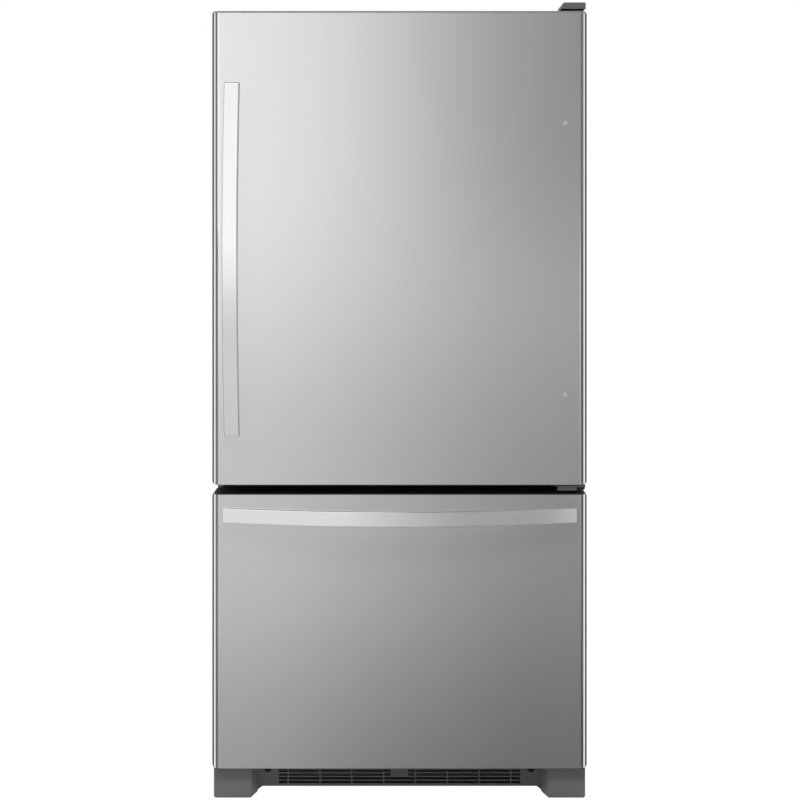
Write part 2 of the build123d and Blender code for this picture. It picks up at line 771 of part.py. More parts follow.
# Duct up the back wall that lets cold air into the room
with BuildPart() as air_tower:
    block(both_sides(tower_width / 2), (room_back - tower_depth, room_back),
          (tower_bottom, tower_top))
    fillet(edges().filter_by(Axis.Z).group_by(Axis.Y)[0], tower_edge)
    block(both_sides(tower_width / 2 - tower_wall), (room_back - tower_depth + tower_wall, room_back),
          (tower_bottom + tower_wall, tower_top - tower_wall), Mode.SUBTRACT)
    with BuildSketch(facing(room_back - tower_depth + tower_wall)):
        for z in shelf_heights[1:]:
            with Locations((0, z + tower_slot_rise)):
                with GridLocations(0, vent_pitch, 1, tower_slots):
                    SlotOverall(vent_width, vent_height)
    extrude(amount=tower_wall, mode=Mode.SUBTRACT)

control_y = (y_cabinet + control_setback, y_cabinet + control_setback + control_depth)
control_low = fresh_high - liner_wall - control_height
knob_z = fresh_high - liner_wall - control_height / 2
knob_places = [(-knob_spread / 2, knob_z), (knob_spread / 2, knob_z)]
lens_y = ((control_y[0] + control_y[1] - lens_depth) / 2, (control_y[0] + control_y[1] + lens_depth) / 2)

with BuildPart() as control_housing:
    block(both_sides(control_width / 2), control_y, (control_low, fresh_high - liner_wall))
    fillet(edges().filter_by(Axis.Y).group_by(Axis.Z)[0], control_edge)
    block(both_sides(control_width / 2 - control_wall),
          (control_y[0] + control_wall, control_y[1] - control_wall),
          (control_low + control_wall, fresh_high - liner_wall), Mode.SUBTRACT)
    rod(facing(control_y[0] + control_wall), knob_places, knob_shaft + 2 * running_fit, control_wall,
        Mode.SUBTRACT)
    block(both_sides(lens_width / 2), lens_y, (control_low, control_low + control_wall),
          Mode.SUBTRACT)

with BuildPart() as light_lens:
    block(both_sides(lens_width / 2 + lens_flange), (lens_y[0] - lens_flange, lens_y[1] + lens_flange),
          (control_low - lens_thickness, control_low))
    fillet(edges().filter_by(Axis.Z), lens_corner)
    block(both_sides(lens_width / 2 - lens_fit), (lens_y[0] + lens_fit, lens_y[1] - lens_fit),
          (control_low, control_low + control_wall))


def control_knob(place):
    """A round knob with a grip ridge, on a short shaft into the housing."""
    x, z = place
    back = control_y[0] - knob_gap
    with BuildPart() as knob:
        rod(facing(back + knob_shaft_length), [place], knob_shaft, knob_shaft_length)
        rod(facing(back), [place], knob_radius, knob_depth - knob_grip)
        fillet(edges().filter_by(GeomType.CIRCLE).group_by(Axis.Y)[0], knob_edge)
        block((x - knob_ridge / 2, x + knob_ridge / 2), (back - knob_depth, back - knob_depth + knob_grip),
              (z - knob_radius + knob_edge, z + knob_radius - knob_edge))
    return knob


fridge_knob = control_knob(knob_places[0])
freezer_knob = control_knob(knob_places[1])

# Plunger that the closed door pushes in to put the light out
with BuildPart() as light_switch:
    tip = y_front_back + gasket_clearance
    rod(facing(tip + plunger_length), [(plunger_x, plunger_z)], plunger_radius, plunger_length)
    fillet(edges().filter_by(GeomType.CIRCLE).group_by(Axis.Y)[0], plunger_edge)
    rod(facing(tip + plunger_length), [(plunger_x, plunger_z)], plunger_collar, plunger_collar_depth)

shelf_half = half_room - shelf_side_gap
pane_half = shelf_half - shelf_rim + glass_bearing
pane_y = (inner_front + shelf_rim - glass_bearing, shelf_back - shelf_rim + glass_bearing)
slider_z = shelf_heights[1] + shelf_thickness / 2
slider_start = shelf_half / 2

with BuildPart() as shelf_frames:
    for z in shelf_heights:
        block(both_sides(shelf_half), (inner_front, shelf_back), (z, z + shelf_thickness))
        block(both_sides(shelf_half - shelf_rim), (inner_front + shelf_rim, shelf_back - shelf_rim),
              (z, z + shelf_thickness), Mode.SUBTRACT)
        block(both_sides(pane_half), pane_y, (z + shelf_thickness - glass_thickness, z + shelf_thickness),
              Mode.SUBTRACT)
    for side in (-1, 1):
        slot_ends = on_side(side, slider_start - slider_width / 2 - slot_margin,
                            slider_start + slider_width / 2 + slider_travel + slot_margin)
        block(slot_ends, (inner_front, inner_front + slider_tongue + slider_fit),
              (slider_z - slider_height / 4 - slider_fit, slider_z + slider_height / 4 + slider_fit),
              Mode.SUBTRACT)

with BuildPart() as shelf_glass:
    for z in shelf_heights:
        block(both_sides(pane_half), pane_y, (z + shelf_thickness - glass_thickness, z + shelf_thickness))


def humidity_slider(side):
    """A thumb slider in the crisper shelf's front bar."""
    with BuildPart() as slider:
        x = on_side(side, slider_start - slider_width / 2, slider_start + slider_width / 2)
        block(x, (inner_front - slider_fit - slider_reach, inner_front - slider_fit),
              (slider_z - slider_height / 2, slider_z + slider_height / 2))
        fillet(edges().filter_by(Axis.Z), slider_edge)
        block(x, (inner_front - slider_fit, inner_front + slider_tongue),
              (slider_z - slider_height / 4, slider_z + slider_height / 4))
    return slider


humidity_slider_left = humidity_slider(-1)
humidity_slider_right = humidity_slider(1)


def open_bin(x, y, z, wall, lip):
    """An open-topped moulded drawer with a rolled pull along its front's top edge."""
    with BuildPart() as tray:
        block(x, y, z)
        fillet(edges().filter_by(Axis.Z), bin_corner)
        fillet(edges().group_by(Axis.Z)[0], bin_corner / 3)
        offset(amount=-wall, openings=faces().sort_by(Axis.Z)[-1])
        if lip:
            block((x[0] + bin_corner, x[1] - bin_corner), (y[0] - lip, y[0] + wall), (z[1] - wall, z[1]))
            block((x[0] + bin_corner, x[1] - bin_corner), (y[0] - lip, y[0] - lip + wall),
                  (z[1] - lip, z[1]))
    return tray


crisper_y = (inner_front + bin_lip, inner_front + bin_lip + crisper_depth)
crisper_z = (shelf_heights[0] + shelf_thickness + slide_clearance, shelf_heights[1] - crisper_headroom)
crisper_x = (crisper_gap / 2, half_room - ledge_width - crisper_side_gap)
crisper_left = open_bin(on_side(-1, *crisper_x), crisper_y, crisper_z, bin_wall, bin_lip)
crisper_right = open_bin(on_side(1, *crisper_x), crisper_y, crisper_z, bin_wall, bin_lip)
pantry_y = (inner_front + bin_lip, inner_front + bin_lip + pantry_depth)
pantry_drawer = open_bin(both_sides(half_room - liner_corner / 2), pantry_y,
                         (fresh_low + liner_wall + pantry_runner + slide_clearance,
                          shelf_heights[0] - pantry_headroom),
                         bin_wall, bin_lip)


# ---- Door and drawer fronts ----------------------------------------------------------------

def front_skin(low, high, lip, holes):
    """Stainless sheet rolled round the sides of a front, with a flange behind."""
    with BuildPart() as piece:
        with BuildSketch(level(low + cap_lip)):
            front_outline(0, y_front_back)
        extrude(amount=high - lip - low - cap_lip)
        with BuildSketch(level(low)):
            front_outline(skin, y_front_back - skin)
        extrude(amount=high - low, mode=Mode.SUBTRACT)
        block(both_sides(half_front - skin_flange), (y_front_back - 2 * skin, y_front_back),
              (low, high), Mode.SUBTRACT)
        with BuildSketch(facing(y_front_back)):
            rounded_span(both_sides(half_front), (low, high), silhouette_radius)
        extrude(amount=door_thickness, mode=Mode.INTERSECT)
        for place, radius in holes:
            rod(facing(y_front + skin), [place], radius, skin, Mode.SUBTRACT)
    return piece


def end_caps(low, high, lip, pins):
    """Moulded caps that close a front's top and bottom, with bosses round any hinge pins."""
    with BuildPart() as piece:
        for shown, body in (((low, low + cap_lip), (low, low + cap_height)),
                            ((high - lip, high), (high - cap_height, high))):
            with BuildSketch(level(shown[0])):
                front_outline(0, y_front_back)
            extrude(amount=shown[1] - shown[0])
            with BuildSketch(level(body[0])):
                front_outline(skin, y_front_back - skin)
            extrude(amount=body[1] - body[0])
        with BuildSketch(facing(y_front_back)):
            rounded_span(both_sides(half_front), (low, high), silhouette_radius)
        extrude(amount=door_thickness, mode=Mode.INTERSECT)
        for pin in pins:
            rod(level(high - boss_depth), [pin], boss_radius, boss_depth)
            rod(level(low - collar_height), [pin], boss_radius, boss_depth + collar_height)
            rod(level(high - pin_hole), [pin], pin_radius + running_fit, pin_hole, Mode.SUBTRACT)
            rod(level(low - collar_height), [pin], pin_radius + running_fit,
                pin_hole + collar_height, Mode.SUBTRACT)
    return piece


def front_gasket(low, high):
    """The magnetic seal that closes against the cabinet."""
    with BuildPart() as piece:
        outer = half_front - gasket_inset
        with BuildSketch(facing(y_cabinet - gasket_clearance)):
            rounded_span(both_sides(outer), (low + gasket_inset, high - gasket_inset), gasket_corner)
            rounded_span(both_sides(outer - gasket_width),
                         (low + gasket_inset + gasket_width, high - gasket_inset - gasket_width),
                         gasket_inner_corner, Mode.SUBTRACT)
        extrude(amount=gasket_gap - gasket_clearance)
    return piece


def front_foam_body(low, high):
    """The block of foam between a front's skin, caps and inner sheet."""
    with BuildSketch(level(low + cap_height)) as plan:
        front_outline(skin, y_front_back - inner_sheet)
    return plan.sketch


liner_half = half_front - skin_flange - sheet_clearance
post_inner = half_room - post_inset - post_width
post_z = (door_bottom + post_rise, door_top - post_drop)


def door_posts(inset, z_inset, front):
    """The two upright ribs inside the door, drawn in by inset."""
    for side in (-1, 1):
        block(on_side(side, post_inner + inset, post_inner + post_width - inset),
              (front, y_front_back + post_depth - inset),
              (post_z[0] + z_inset, post_z[1] - z_inset))


door_studs = [(door_handle_x, door_handle_height + side * stud_spacing / 2) for side in (-1, 1)]
plug_places = [(-x, z) for x, z in door_studs]
door_holes = ([(place, stud_radius) for place in door_studs]
              + [(place, plug_stem + sheet_clearance) for place in plug_places])
door_skin = front_skin(door_bottom, door_top, top_lip, door_holes)
door_gasket = front_gasket(door_bottom, door_top)
door_end_caps = end_caps(door_bottom, door_top, top_lip, [(hinge_x, hinge_y)])

with BuildPart() as door_liner:
    block(both_sides(liner_half), (y_front_back - inner_sheet, y_front_back),
          (door_bottom + cap_height, door_top - cap_height))
    door_posts(0, 0, y_front_back)
    door_posts(inner_sheet, inner_sheet, y_front_back - inner_sheet)
    for side in (-1, 1):
        block(on_side(side, post_inner + inner_sheet, post_inner + post_width - inner_sheet),
              (y_front_back - inner_sheet, y_front_back + post_depth - inner_sheet),
              (post_z[0] + inner_sheet, post_z[1] - inner_sheet), Mode.SUBTRACT)

with BuildPart() as door_foam:
    extrude(front_foam_body(door_bottom, door_top), amount=door_top - door_bottom - 2 * cap_height)
    door_posts(inner_sheet, inner_sheet, y_front_back - inner_sheet)
    rod(level(door_top - boss_depth), [(hinge_x, hinge_y)], boss_radius, boss_depth, Mode.SUBTRACT)
    rod(level(door_bottom), [(hinge_x, hinge_y)], boss_radius, boss_depth, Mode.SUBTRACT)
    rod(facing(y_front + stud_depth), door_studs, stud_radius, stud_depth, Mode.SUBTRACT)
    rod(facing(y_front + stud_depth), plug_places, plug_stem, stud_depth, Mode.SUBTRACT)

# Plugs in the holes that would take the handle on the other side
with BuildPart() as door_plugs:
    rod(facing(y_front), plug_places, plug_radius, plug_head)
    fillet(edges().filter_by(GeomType.CIRCLE).group_by(Axis.Y)[0], plug_edge)
    rod(facing(y_front + stud_depth), plug_places, plug_stem, stud_depth)

# Bins between the door's posts
with BuildPart() as door_bins:
    for low, high in door_bin_levels:
        tray = open_bin(both_sides(post_inner), (y_front_back, y_front_back + door_bin_depth),
                        (low, high), bin_wall, 0)
        add(tray.part)


# ---- Handles -------------------------------------------------------------------------------

bow_rise = handle_reach - handle_end_reach
bow_radius = ((handle_length / 2) ** 2 + bow_rise ** 2) / (2 * bow_rise)
bow_at_stud = handle_reach - bow_radius + sqrt(bow_radius ** 2 - (stud_spacing / 2) ** 2)
standoff_length = bow_at_stud - handle_thickness / 2


def bowed_handle(centre, along, across):
    """A flat bar bowed away from the front, on two standoffs that screw into it."""
    half = handle_length / 2
    side_view = Plane(origin=centre, x_dir=along, z_dir=across)
    face_view = Plane(origin=centre, x_dir=along, z_dir=(0, -1, 0))
    ends = [(-stud_spacing / 2, 0), (stud_spacing / 2, 0)]
    with BuildPart() as bar:
        with BuildSketch(side_view):
            with BuildLine():
                ThreePointArc((-half, handle_end_reach), (0, handle_reach), (half, handle_end_reach))
                Line((half, handle_end_reach), (half, handle_end_reach - handle_thickness))
                ThreePointArc((half, handle_end_reach - handle_thickness),
                              (0, handle_reach - handle_thickness),
                              (-half, handle_end_reach - handle_thickness))
                Line((-half, handle_end_reach - handle_thickness), (-half, handle_end_reach))
            make_face()
        extrude(amount=handle_width / 2, both=True)
        fillet(edges(), handle_edge)
        rod(face_view, ends, standoff_radius + standoff_fit, standoff_length + standoff_fit, Mode.SUBTRACT)
        rod(face_view, ends, standoff_radius, standoff_length)
        rod(face_view.offset(-stud_depth), ends, stud_radius, stud_depth)
    return bar


door_handle = bowed_handle((door_handle_x, y_front, door_handle_height), (0, 0, 1), (1, 0, 0))
drawer_handle = bowed_handle((0, y_front, drawer_handle_height), (1, 0, 0), (0, 0, -1))


# ---- Freezer drawer ----------------------------------------------------------------------------

drawer_studs = [(side * stud_spacing / 2, drawer_handle_height) for side in (-1, 1)]
drawer_holes = [(place, stud_radius) for place in drawer_studs]
drawer_skin = front_skin(drawer_bottom, drawer_top, cap_lip, drawer_holes)
drawer_end_caps = end_caps(drawer_bottom, drawer_top, cap_lip, [])
drawer_gasket = front_gasket(drawer_bottom, drawer_top)

with BuildPart() as drawer_liner:
    block(both_sides(liner_half), (y_front_back - inner_sheet, y_front_back),
          (drawer_bottom + cap_height, drawer_top - cap_height))
    with BuildSketch(facing(y_front_back + panel_rise)):
        rounded_span(both_sides(half_room - panel_inset),
                     (freezer_low + panel_lift, freezer_high - panel_drop), liner_corner)
    extrude(amount=panel_rise)

with BuildPart() as drawer_foam:
    extrude(front_foam_body(drawer_bottom, drawer_top),
            amount=drawer_top - drawer_bottom - 2 * cap_height)
    rod(facing(y_front + stud_depth), drawer_studs, stud_radius, stud_depth, Mode.SUBTRACT)

# Telescopic slides, from the room's wall inwards: outer rail, middle member, inner arm

def channel(side, x, y, z):
    """A C section that opens towards the middle of the room."""
    block(on_side(side, x[0], x[1]), y, z)
    block(on_side(side, x[0], x[1] - rail_wall), y, (z[0] + rail_wall, z[1] - rail_wall),
          Mode.SUBTRACT)


with BuildPart() as slide_outer_rails:
    for side in (-1, 1):
        channel(side, outer_x, slide_y, rail_z)

with BuildPart() as slide_middle_members:
    for side in (-1, 1):
        channel(side, middle_x, (slide_y[0] + member_setback, slide_y[1] - member_shortfall), middle_z)

arm_y = (y_front_back, y_front_back + arm_length)
with BuildPart() as drawer_brackets:
    for side in (-1, 1):
        block(on_side(side, inner_x[0], inner_x[1]), (slide_y[0] + member_setback, arm_y[1]), inner_z)
        block(on_side(side, arm_x[0], arm_x[1]), arm_y, inner_z)
        block(on_side(side, arm_x[1] - arm_foot, arm_x[1]), (y_front_back, y_front_back + bracket_sheet),
              (inner_z[0] - arm_foot_rise, inner_z[1] + arm_foot_rise))


def slotted_basket(x, y, z, rim_reach):
    """An open basket with upright slots in its walls and a turned-out rim at the sides."""
    with BuildPart() as basket:
        block(x, y, z)
        fillet(edges().filter_by(Axis.Z), bin_corner)
        offset(amount=-basket_wall, openings=faces().sort_by(Axis.Z)[-1])
        pitch = basket_slot + basket_bar
        slot_z = (z[1] - z[0]) - 2 * pitch
        middle_z = (z[0] + z[1]) / 2
        front_count = int((x[1] - x[0]) / pitch) - basket_blank_slots
        side_count = int((y[1] - y[0]) / pitch) - basket_blank_slots
        with BuildSketch(facing(y[1])):
            with Locations(((x[0] + x[1]) / 2, middle_z)):
                with GridLocations(pitch, 0, front_count, 1):
                    SlotOverall(slot_z, basket_slot, rotation=90)
        extrude(amount=y[1] - y[0], mode=Mode.SUBTRACT)
        with BuildSketch(Plane.YZ.offset(x[0])):
            with Locations(((y[0] + y[1]) / 2, middle_z)):
                with GridLocations(pitch, 0, side_count, 1):
                    SlotOverall(slot_z, basket_slot, rotation=90)
        extrude(amount=x[1] - x[0], mode=Mode.SUBTRACT)
        for side in (-1, 1):
            block(on_side(side, x[1] - basket_wall, x[1] + rim_reach),
                  (y[0] + bin_corner, y[1] - bin_corner), (z[1] - basket_rim, z[1]))
    return basket


basket_half = arm_x[0] - basket_side_gap
basket_y = (y_front_back + basket_setback, step_front - liner_wall - lower_basket_gap)
lower_basket = slotted_basket(both_sides(basket_half), basket_y,
                              (freezer_low + liner_wall + lower_basket_floor, basket_top),
                              basket_side_gap + arm_thickness)
upper_y = (y_cabinet + basket_setback, y_cabinet + basket_setback + upper_basket_depth)
upper_top = upper_basket_bottom + upper_basket_height
with BuildPart() as upper_basket:
    add(slotted_basket(both_sides(half_room - slide_clearance - rail_gap), upper_y,
                       (upper_basket_bottom + slide_clearance, upper_top), -basket_rim).part)


# ---- Hinges -----------------------------------------------------------------------------------

with BuildPart() as top_hinge:
    arm_span = (hinge_x + hinge_arm_overhang - hinge_arm_width, hinge_x + hinge_arm_overhang)
    riser_y = (hinge_foot_y[0] - hinge_plate, hinge_foot_y[0])
    block(hinge_foot_x, hinge_foot_y, (cabinet_top, cabinet_top + hinge_plate))
    block(arm_span, riser_y, (cabinet_top, top_arm + hinge_plate))
    block(arm_span, (hinge_y - hinge_nose, hinge_foot_y[0]), (top_arm, top_arm + hinge_plate))
    rod(level(door_top - pin_length), [(hinge_x, hinge_y)], pin_radius, pin_length + hinge_lift)
    rod(level(cabinet_top), hinge_bolts, bolt_radius, hinge_plate, Mode.SUBTRACT)

with BuildPart() as centre_hinge:
    plate_z = (centre_plate, centre_plate + hinge_plate)
    lip_x = (hinge_x - boss_radius - hinge_lip_width, hinge_x - boss_radius)
    block(centre_foot_x, (y_cabinet - bracket_sheet, y_cabinet), centre_foot_z)
    block((lip_x[0], hinge_x + boss_radius), (hinge_y - hinge_nose, y_cabinet - bracket_sheet), plate_z)
    block(lip_x, (hinge_y - hinge_nose - hinge_plate, hinge_y - hinge_nose),
          (plate_z[1] - hinge_lip_height, plate_z[1]))
    rod(level(centre_plate - hub_depth), [(hinge_x, hinge_y)], boss_radius, hub_depth)
    rod(level(plate_z[1]), [(hinge_x, hinge_y)], pin_radius, hinge_plate + pin_length)
    rod(facing(y_cabinet), centre_bolts, bolt_radius, bracket_sheet, Mode.SUBTRACT)

with BuildPart() as hinge_screws:
    rod(level(cabinet_top - bolt_length), hinge_bolts, bolt_radius, bolt_length + hinge_plate)
    rod(level(cabinet_top + hinge_plate), hinge_bolts, bolt_head_radius, bolt_head)
    rod(facing(y_cabinet + bolt_length), centre_bolts, bolt_radius, bolt_length + bracket_sheet)
    rod(facing(y_cabinet - bracket_sheet), centre_bolts, bolt_head_radius, bolt_head)

hood_right = half_front - cover_side_inset
nose_x = (hood_right - cover_nose_width, hood_right)
nose_low = top_arm + cover_nose_lift
hood_x = (hood_right - cover_body_width, hood_right)
hood_y = (y_cabinet + cover_overlap, y_cabinet + cover_overlap + cover_body_depth)


def hinge_hood(inset):
    """The cover's outside, or its inside when drawn in: a low nose and a wider body."""
    with BuildPart() as hood:
        nose_back = hood_y[0] + cover_wall / 2 + inset
        with BuildSketch(facing(nose_back)):
            with BuildLine():
                Polyline((nose_x[0] + inset, nose_low), (nose_x[1] - inset, nose_low),
                         (nose_x[1] - inset, cover_nose_top - inset),
                         (nose_x[0] + inset + cover_nose_slope, cover_nose_top - inset), close=True)
            make_face()
        extrude(amount=nose_back - y_front - cover_nose_setback - inset)
        fillet(edges().group_by(Axis.Z)[-1], cover_nose_edge - inset)
        with BuildSketch(facing(hood_y[1] - inset)):
            with BuildLine():
                Polyline((hood_x[0] + inset, cabinet_top), (hood_x[1] - inset, cabinet_top),
                         (hood_x[1] - inset, cover_top - inset),
                         (hood_x[0] + inset + cover_slope, cover_top - inset), close=True)
            make_face()
        extrude(amount=hood_y[1] - hood_y[0] - 2 * inset)
        fillet(edges().group_by(Axis.Z)[-1], cover_edge - inset)
    return hood


with BuildPart() as top_hinge_cover:
    add(hinge_hood(0).part)
    add(hinge_hood(cover_wall).part, mode=Mode.SUBTRACT)
    block((arm_span[0] - sheet_clearance, arm_span[1] + sheet_clearance),
          (hood_y[0], hood_y[0] + cover_wall), (top_arm - sheet_clearance, nose_low), Mode.SUBTRACT)


# ---- Base -------------------------------------------------------------------------------------

grille_y = y_front + grille_setback
divider_x = [(index - (grille_columns - 1) / 2) * grille_divider_pitch for index in range(grille_columns)]
slot_edges = [-grille_slots_half] + divider_x + [grille_slots_half]

with BuildPart() as base_grille:
    block(both_sides(grille_half), (grille_y, grille_y + grille_depth), (grille_bottom, base_top))
    block(both_sides(grille_half - grille_wall), (grille_y + grille_wall, grille_y + grille_depth),
          (grille_bottom + grille_wall, base_top - grille_wall), Mode.SUBTRACT)
    with BuildSketch(facing(grille_y + grille_wall)):
        for left, right in zip(slot_edges[:-1], slot_edges[1:]):
            for row in range(grille_rows):
                z = grille_bottom + grille_wall + grille_slot + row * grille_pitch
                span((left + grille_divider / 2, right - grille_divider / 2),
                     (z - grille_slot / 2, z + grille_slot / 2))
    extrude(amount=grille_wall, mode=Mode.SUBTRACT)
    block(both_sides(grille_tab_width / 2), (grille_y - grille_tab_rise, grille_y + grille_wall),
          (base_top - grille_tab_height, base_top))
    with BuildSketch(facing(grille_y + grille_wall)):
        for side in (-1, 1):
            with BuildLine():
                Polyline((side * (grille_half - grille_ear), grille_bottom),
                         (side * grille_half, grille_bottom),
                         (side * grille_half, grille_bottom - grille_ear_drop), close=True)
            make_face()
    extrude(amount=grille_wall)
    hole_z = base_top - grille_hole_drop
    rod(facing(grille_y + grille_wall), [(-grille_hole_x, hole_z), (grille_hole_x, hole_z)],
        grille_hole_radius, grille_wall, Mode.SUBTRACT)

foot_y = y_front + foot_cover_setback
foot_low = foot_cover_bottom
foot_inner = grille_half + foot_cover_wall
foot_root = grille_half - foot_cover_wall
foot_side = foot_root + foot_cover_flare


def foot_outline(side, inner, toe, inset):
    """A foot cover seen from the front, with a rounded toe at its inner lower corner."""
    span(on_side(side, inner + inset, half_cabinet - inset), (foot_low + inset, base_top - inset))
    toe_corner = vertices().group_by(Axis.Y)[0].sort_by(lambda corner: side * corner.X)[0]
    fillet(toe_corner, toe - inset)
    outer_corner = vertices().group_by(Axis.Y)[0].sort_by(lambda corner: side * corner.X)[-1]
    fillet(outer_corner, foot_corner - inset)


def foot_shell(side, inset, back):
    """The foot's front, whose inner side sweeps back and inwards to the grille."""
    with BuildPart() as shell:
        with BuildSketch(facing(foot_y + inset)):
            foot_outline(side, foot_side, foot_toe_radius, inset)
        with BuildSketch(facing(back)):
            foot_outline(side, foot_root, foot_root_radius, inset)
        loft(ruled=True)
    return shell.part


with BuildPart() as foot_covers:
    for side in (-1, 1):
        add(foot_shell(side, 0, grille_y - sheet_clearance))
        add(foot_shell(side, foot_cover_wall, grille_y), mode=Mode.SUBTRACT)
        block(on_side(side, foot_inner, half_cabinet), (grille_y - sheet_clearance, y_cabinet),
              (foot_low, base_top))
        block(on_side(side, foot_inner + foot_cover_wall, half_cabinet - foot_cover_wall),
              (grille_y - sheet_clearance - foot_cover_wall, y_cabinet),
              (foot_low + foot_cover_wall, base_top - foot_cover_wall), Mode.SUBTRACT)

bracket_x = (half_cabinet - bracket_inset - bracket_width, half_cabinet - bracket_inset)
cheek_gap = roller_width + 2 * roller_side_gap
roller_x = bracket_x[0] + bracket_sheet + roller_side_gap
front_axle = (y_cabinet + front_roller_back, roller_radius + front_roller_lift)
rear_axle = (y_back - rear_roller_front, roller_radius)


def roller_bracket(side, axle, y):
    """A channel under the base pan that holds one roller's axle between its cheeks."""
    block(on_side(side, bracket_x[0], bracket_x[1]), y, (pan_bottom - bracket_sheet, pan_bottom))
    for cheek in (bracket_x[0], bracket_x[0] + bracket_sheet + cheek_gap):
        block(on_side(side, cheek, cheek + bracket_sheet), (axle[0] - cheek_reach, axle[0] + cheek_reach),
              (axle[1] - cheek_drop, pan_bottom - bracket_sheet))
    inner = min(side * bracket_x[0], side * (bracket_x[0] + 2 * bracket_sheet + cheek_gap))
    rod(Plane.YZ.offset(inner), [axle], axle_radius, 2 * bracket_sheet + cheek_gap)


with BuildPart() as roller_brackets:
    for side in (-1, 1):
        roller_bracket(side, front_axle, (y_cabinet + bracket_margin, front_axle[0] + bracket_overrun))
        roller_bracket(side, rear_axle, (rear_axle[0] - bracket_overrun, rear_axle[0] + bracket_overrun))
    rod(level(pan_bottom - bracket_sheet), leg_places, leg_radius + leg_fit, bracket_sheet,
        Mode.SUBTRACT)


def roller_pair(axle):
    """Two hard wheels with rounded treads, one under each side."""
    with BuildPart() as wheels:
        for side in (-1, 1):
            inner = min(side * roller_x, side * (roller_x + roller_width))
            rod(Plane.YZ.offset(inner), [axle], roller_radius, roller_width)
        fillet(edges().filter_by(GeomType.CIRCLE), roller_edge)
        for side in (-1, 1):
            inner = min(side * roller_x, side * (roller_x + roller_width))
            rod(Plane.YZ.offset(inner), [axle], axle_radius + running_fit, roller_width,
                Mode.SUBTRACT)
    return wheels


front_rollers = roller_pair(front_axle)
rear_rollers = roller_pair(rear_axle)


def levelling_leg(place):
    """A threaded leg with a round foot and a spanner hexagon."""
    with BuildPart() as leg:
        rod(level(0), [place], leg_foot_radius, leg_foot_height)
        fillet(edges().group_by(Axis.Z)[-1], leg_edge)
        with BuildSketch(level(leg_foot_height)):
            with Locations(place):
                RegularPolygon(leg_nut_radius, 6)
        extrude(amount=leg_nut_height)
        rod(level(leg_foot_height), [place], leg_radius, leg_length - leg_foot_height)
    return leg


levelling_leg_left = levelling_leg(leg_places[0])
levelling_leg_right = levelling_leg(leg_places[1])

# ---- Output ----------------------------------------------------------------------------------

pieces = {
    "cabinet_wrapper": cabinet_wrapper, "cabinet_foam": cabinet_foam, "back_panel": back_panel,
    "base_pan": base_pan, "fresh_food_liner": fresh_food_liner, "freezer_liner": freezer_liner,
    "mullion_rail": mullion_rail, "machine_cover": machine_cover, "cord_inlet": cord_inlet,
    "compressor": compressor, "drain_pan": drain_pan, "condenser": condenser,
    "condenser_fan_shroud": condenser_fan_shroud, "condenser_fan": condenser_fan,
    "evaporator": evaporator, "evaporator_cover": evaporator_cover, "evaporator_fan": evaporator_fan,
    "air_tower": air_tower, "control_housing": control_housing, "light_lens": light_lens,
    "fridge_knob": fridge_knob, "freezer_knob": freezer_knob, "light_switch": light_switch,
    "shelf_frames": shelf_frames, "shelf_glass": shelf_glass,
    "humidity_slider_left": humidity_slider_left, "humidity_slider_right": humidity_slider_right,
    "crisper_left": crisper_left, "crisper_right": crisper_right, "pantry_drawer": pantry_drawer,
    "door_skin": door_skin, "door_end_caps": door_end_caps, "door_foam": door_foam,
    "door_liner": door_liner, "door_gasket": door_gasket, "door_plugs": door_plugs,
    "door_bins": door_bins, "door_handle": door_handle, "drawer_handle": drawer_handle,
    "drawer_skin": drawer_skin, "drawer_end_caps": drawer_end_caps, "drawer_foam": drawer_foam,
    "drawer_liner": drawer_liner, "drawer_gasket": drawer_gasket,
    "slide_outer_rails": slide_outer_rails, "slide_middle_members": slide_middle_members,
    "drawer_brackets": drawer_brackets, "lower_basket": lower_basket, "upper_basket": upper_basket,
    "top_hinge": top_hinge, "centre_hinge": centre_hinge, "hinge_screws": hinge_screws,
    "top_hinge_cover": top_hinge_cover, "base_grille": base_grille, "foot_covers": foot_covers,
    "roller_brackets": roller_brackets, "front_rollers": front_rollers, "rear_rollers": rear_rollers,
    "levelling_leg_left": levelling_leg_left, "levelling_leg_right": levelling_leg_right,
}

os.makedirs("parts", exist_ok=True)
for name, piece in pieces.items():
    piece.part.label = name
    export_step(piece.part, f"parts/{name}.step")
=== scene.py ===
"""Finish and fine detail for a bottom freezer refrigerator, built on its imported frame. Metres."""

import json
import math

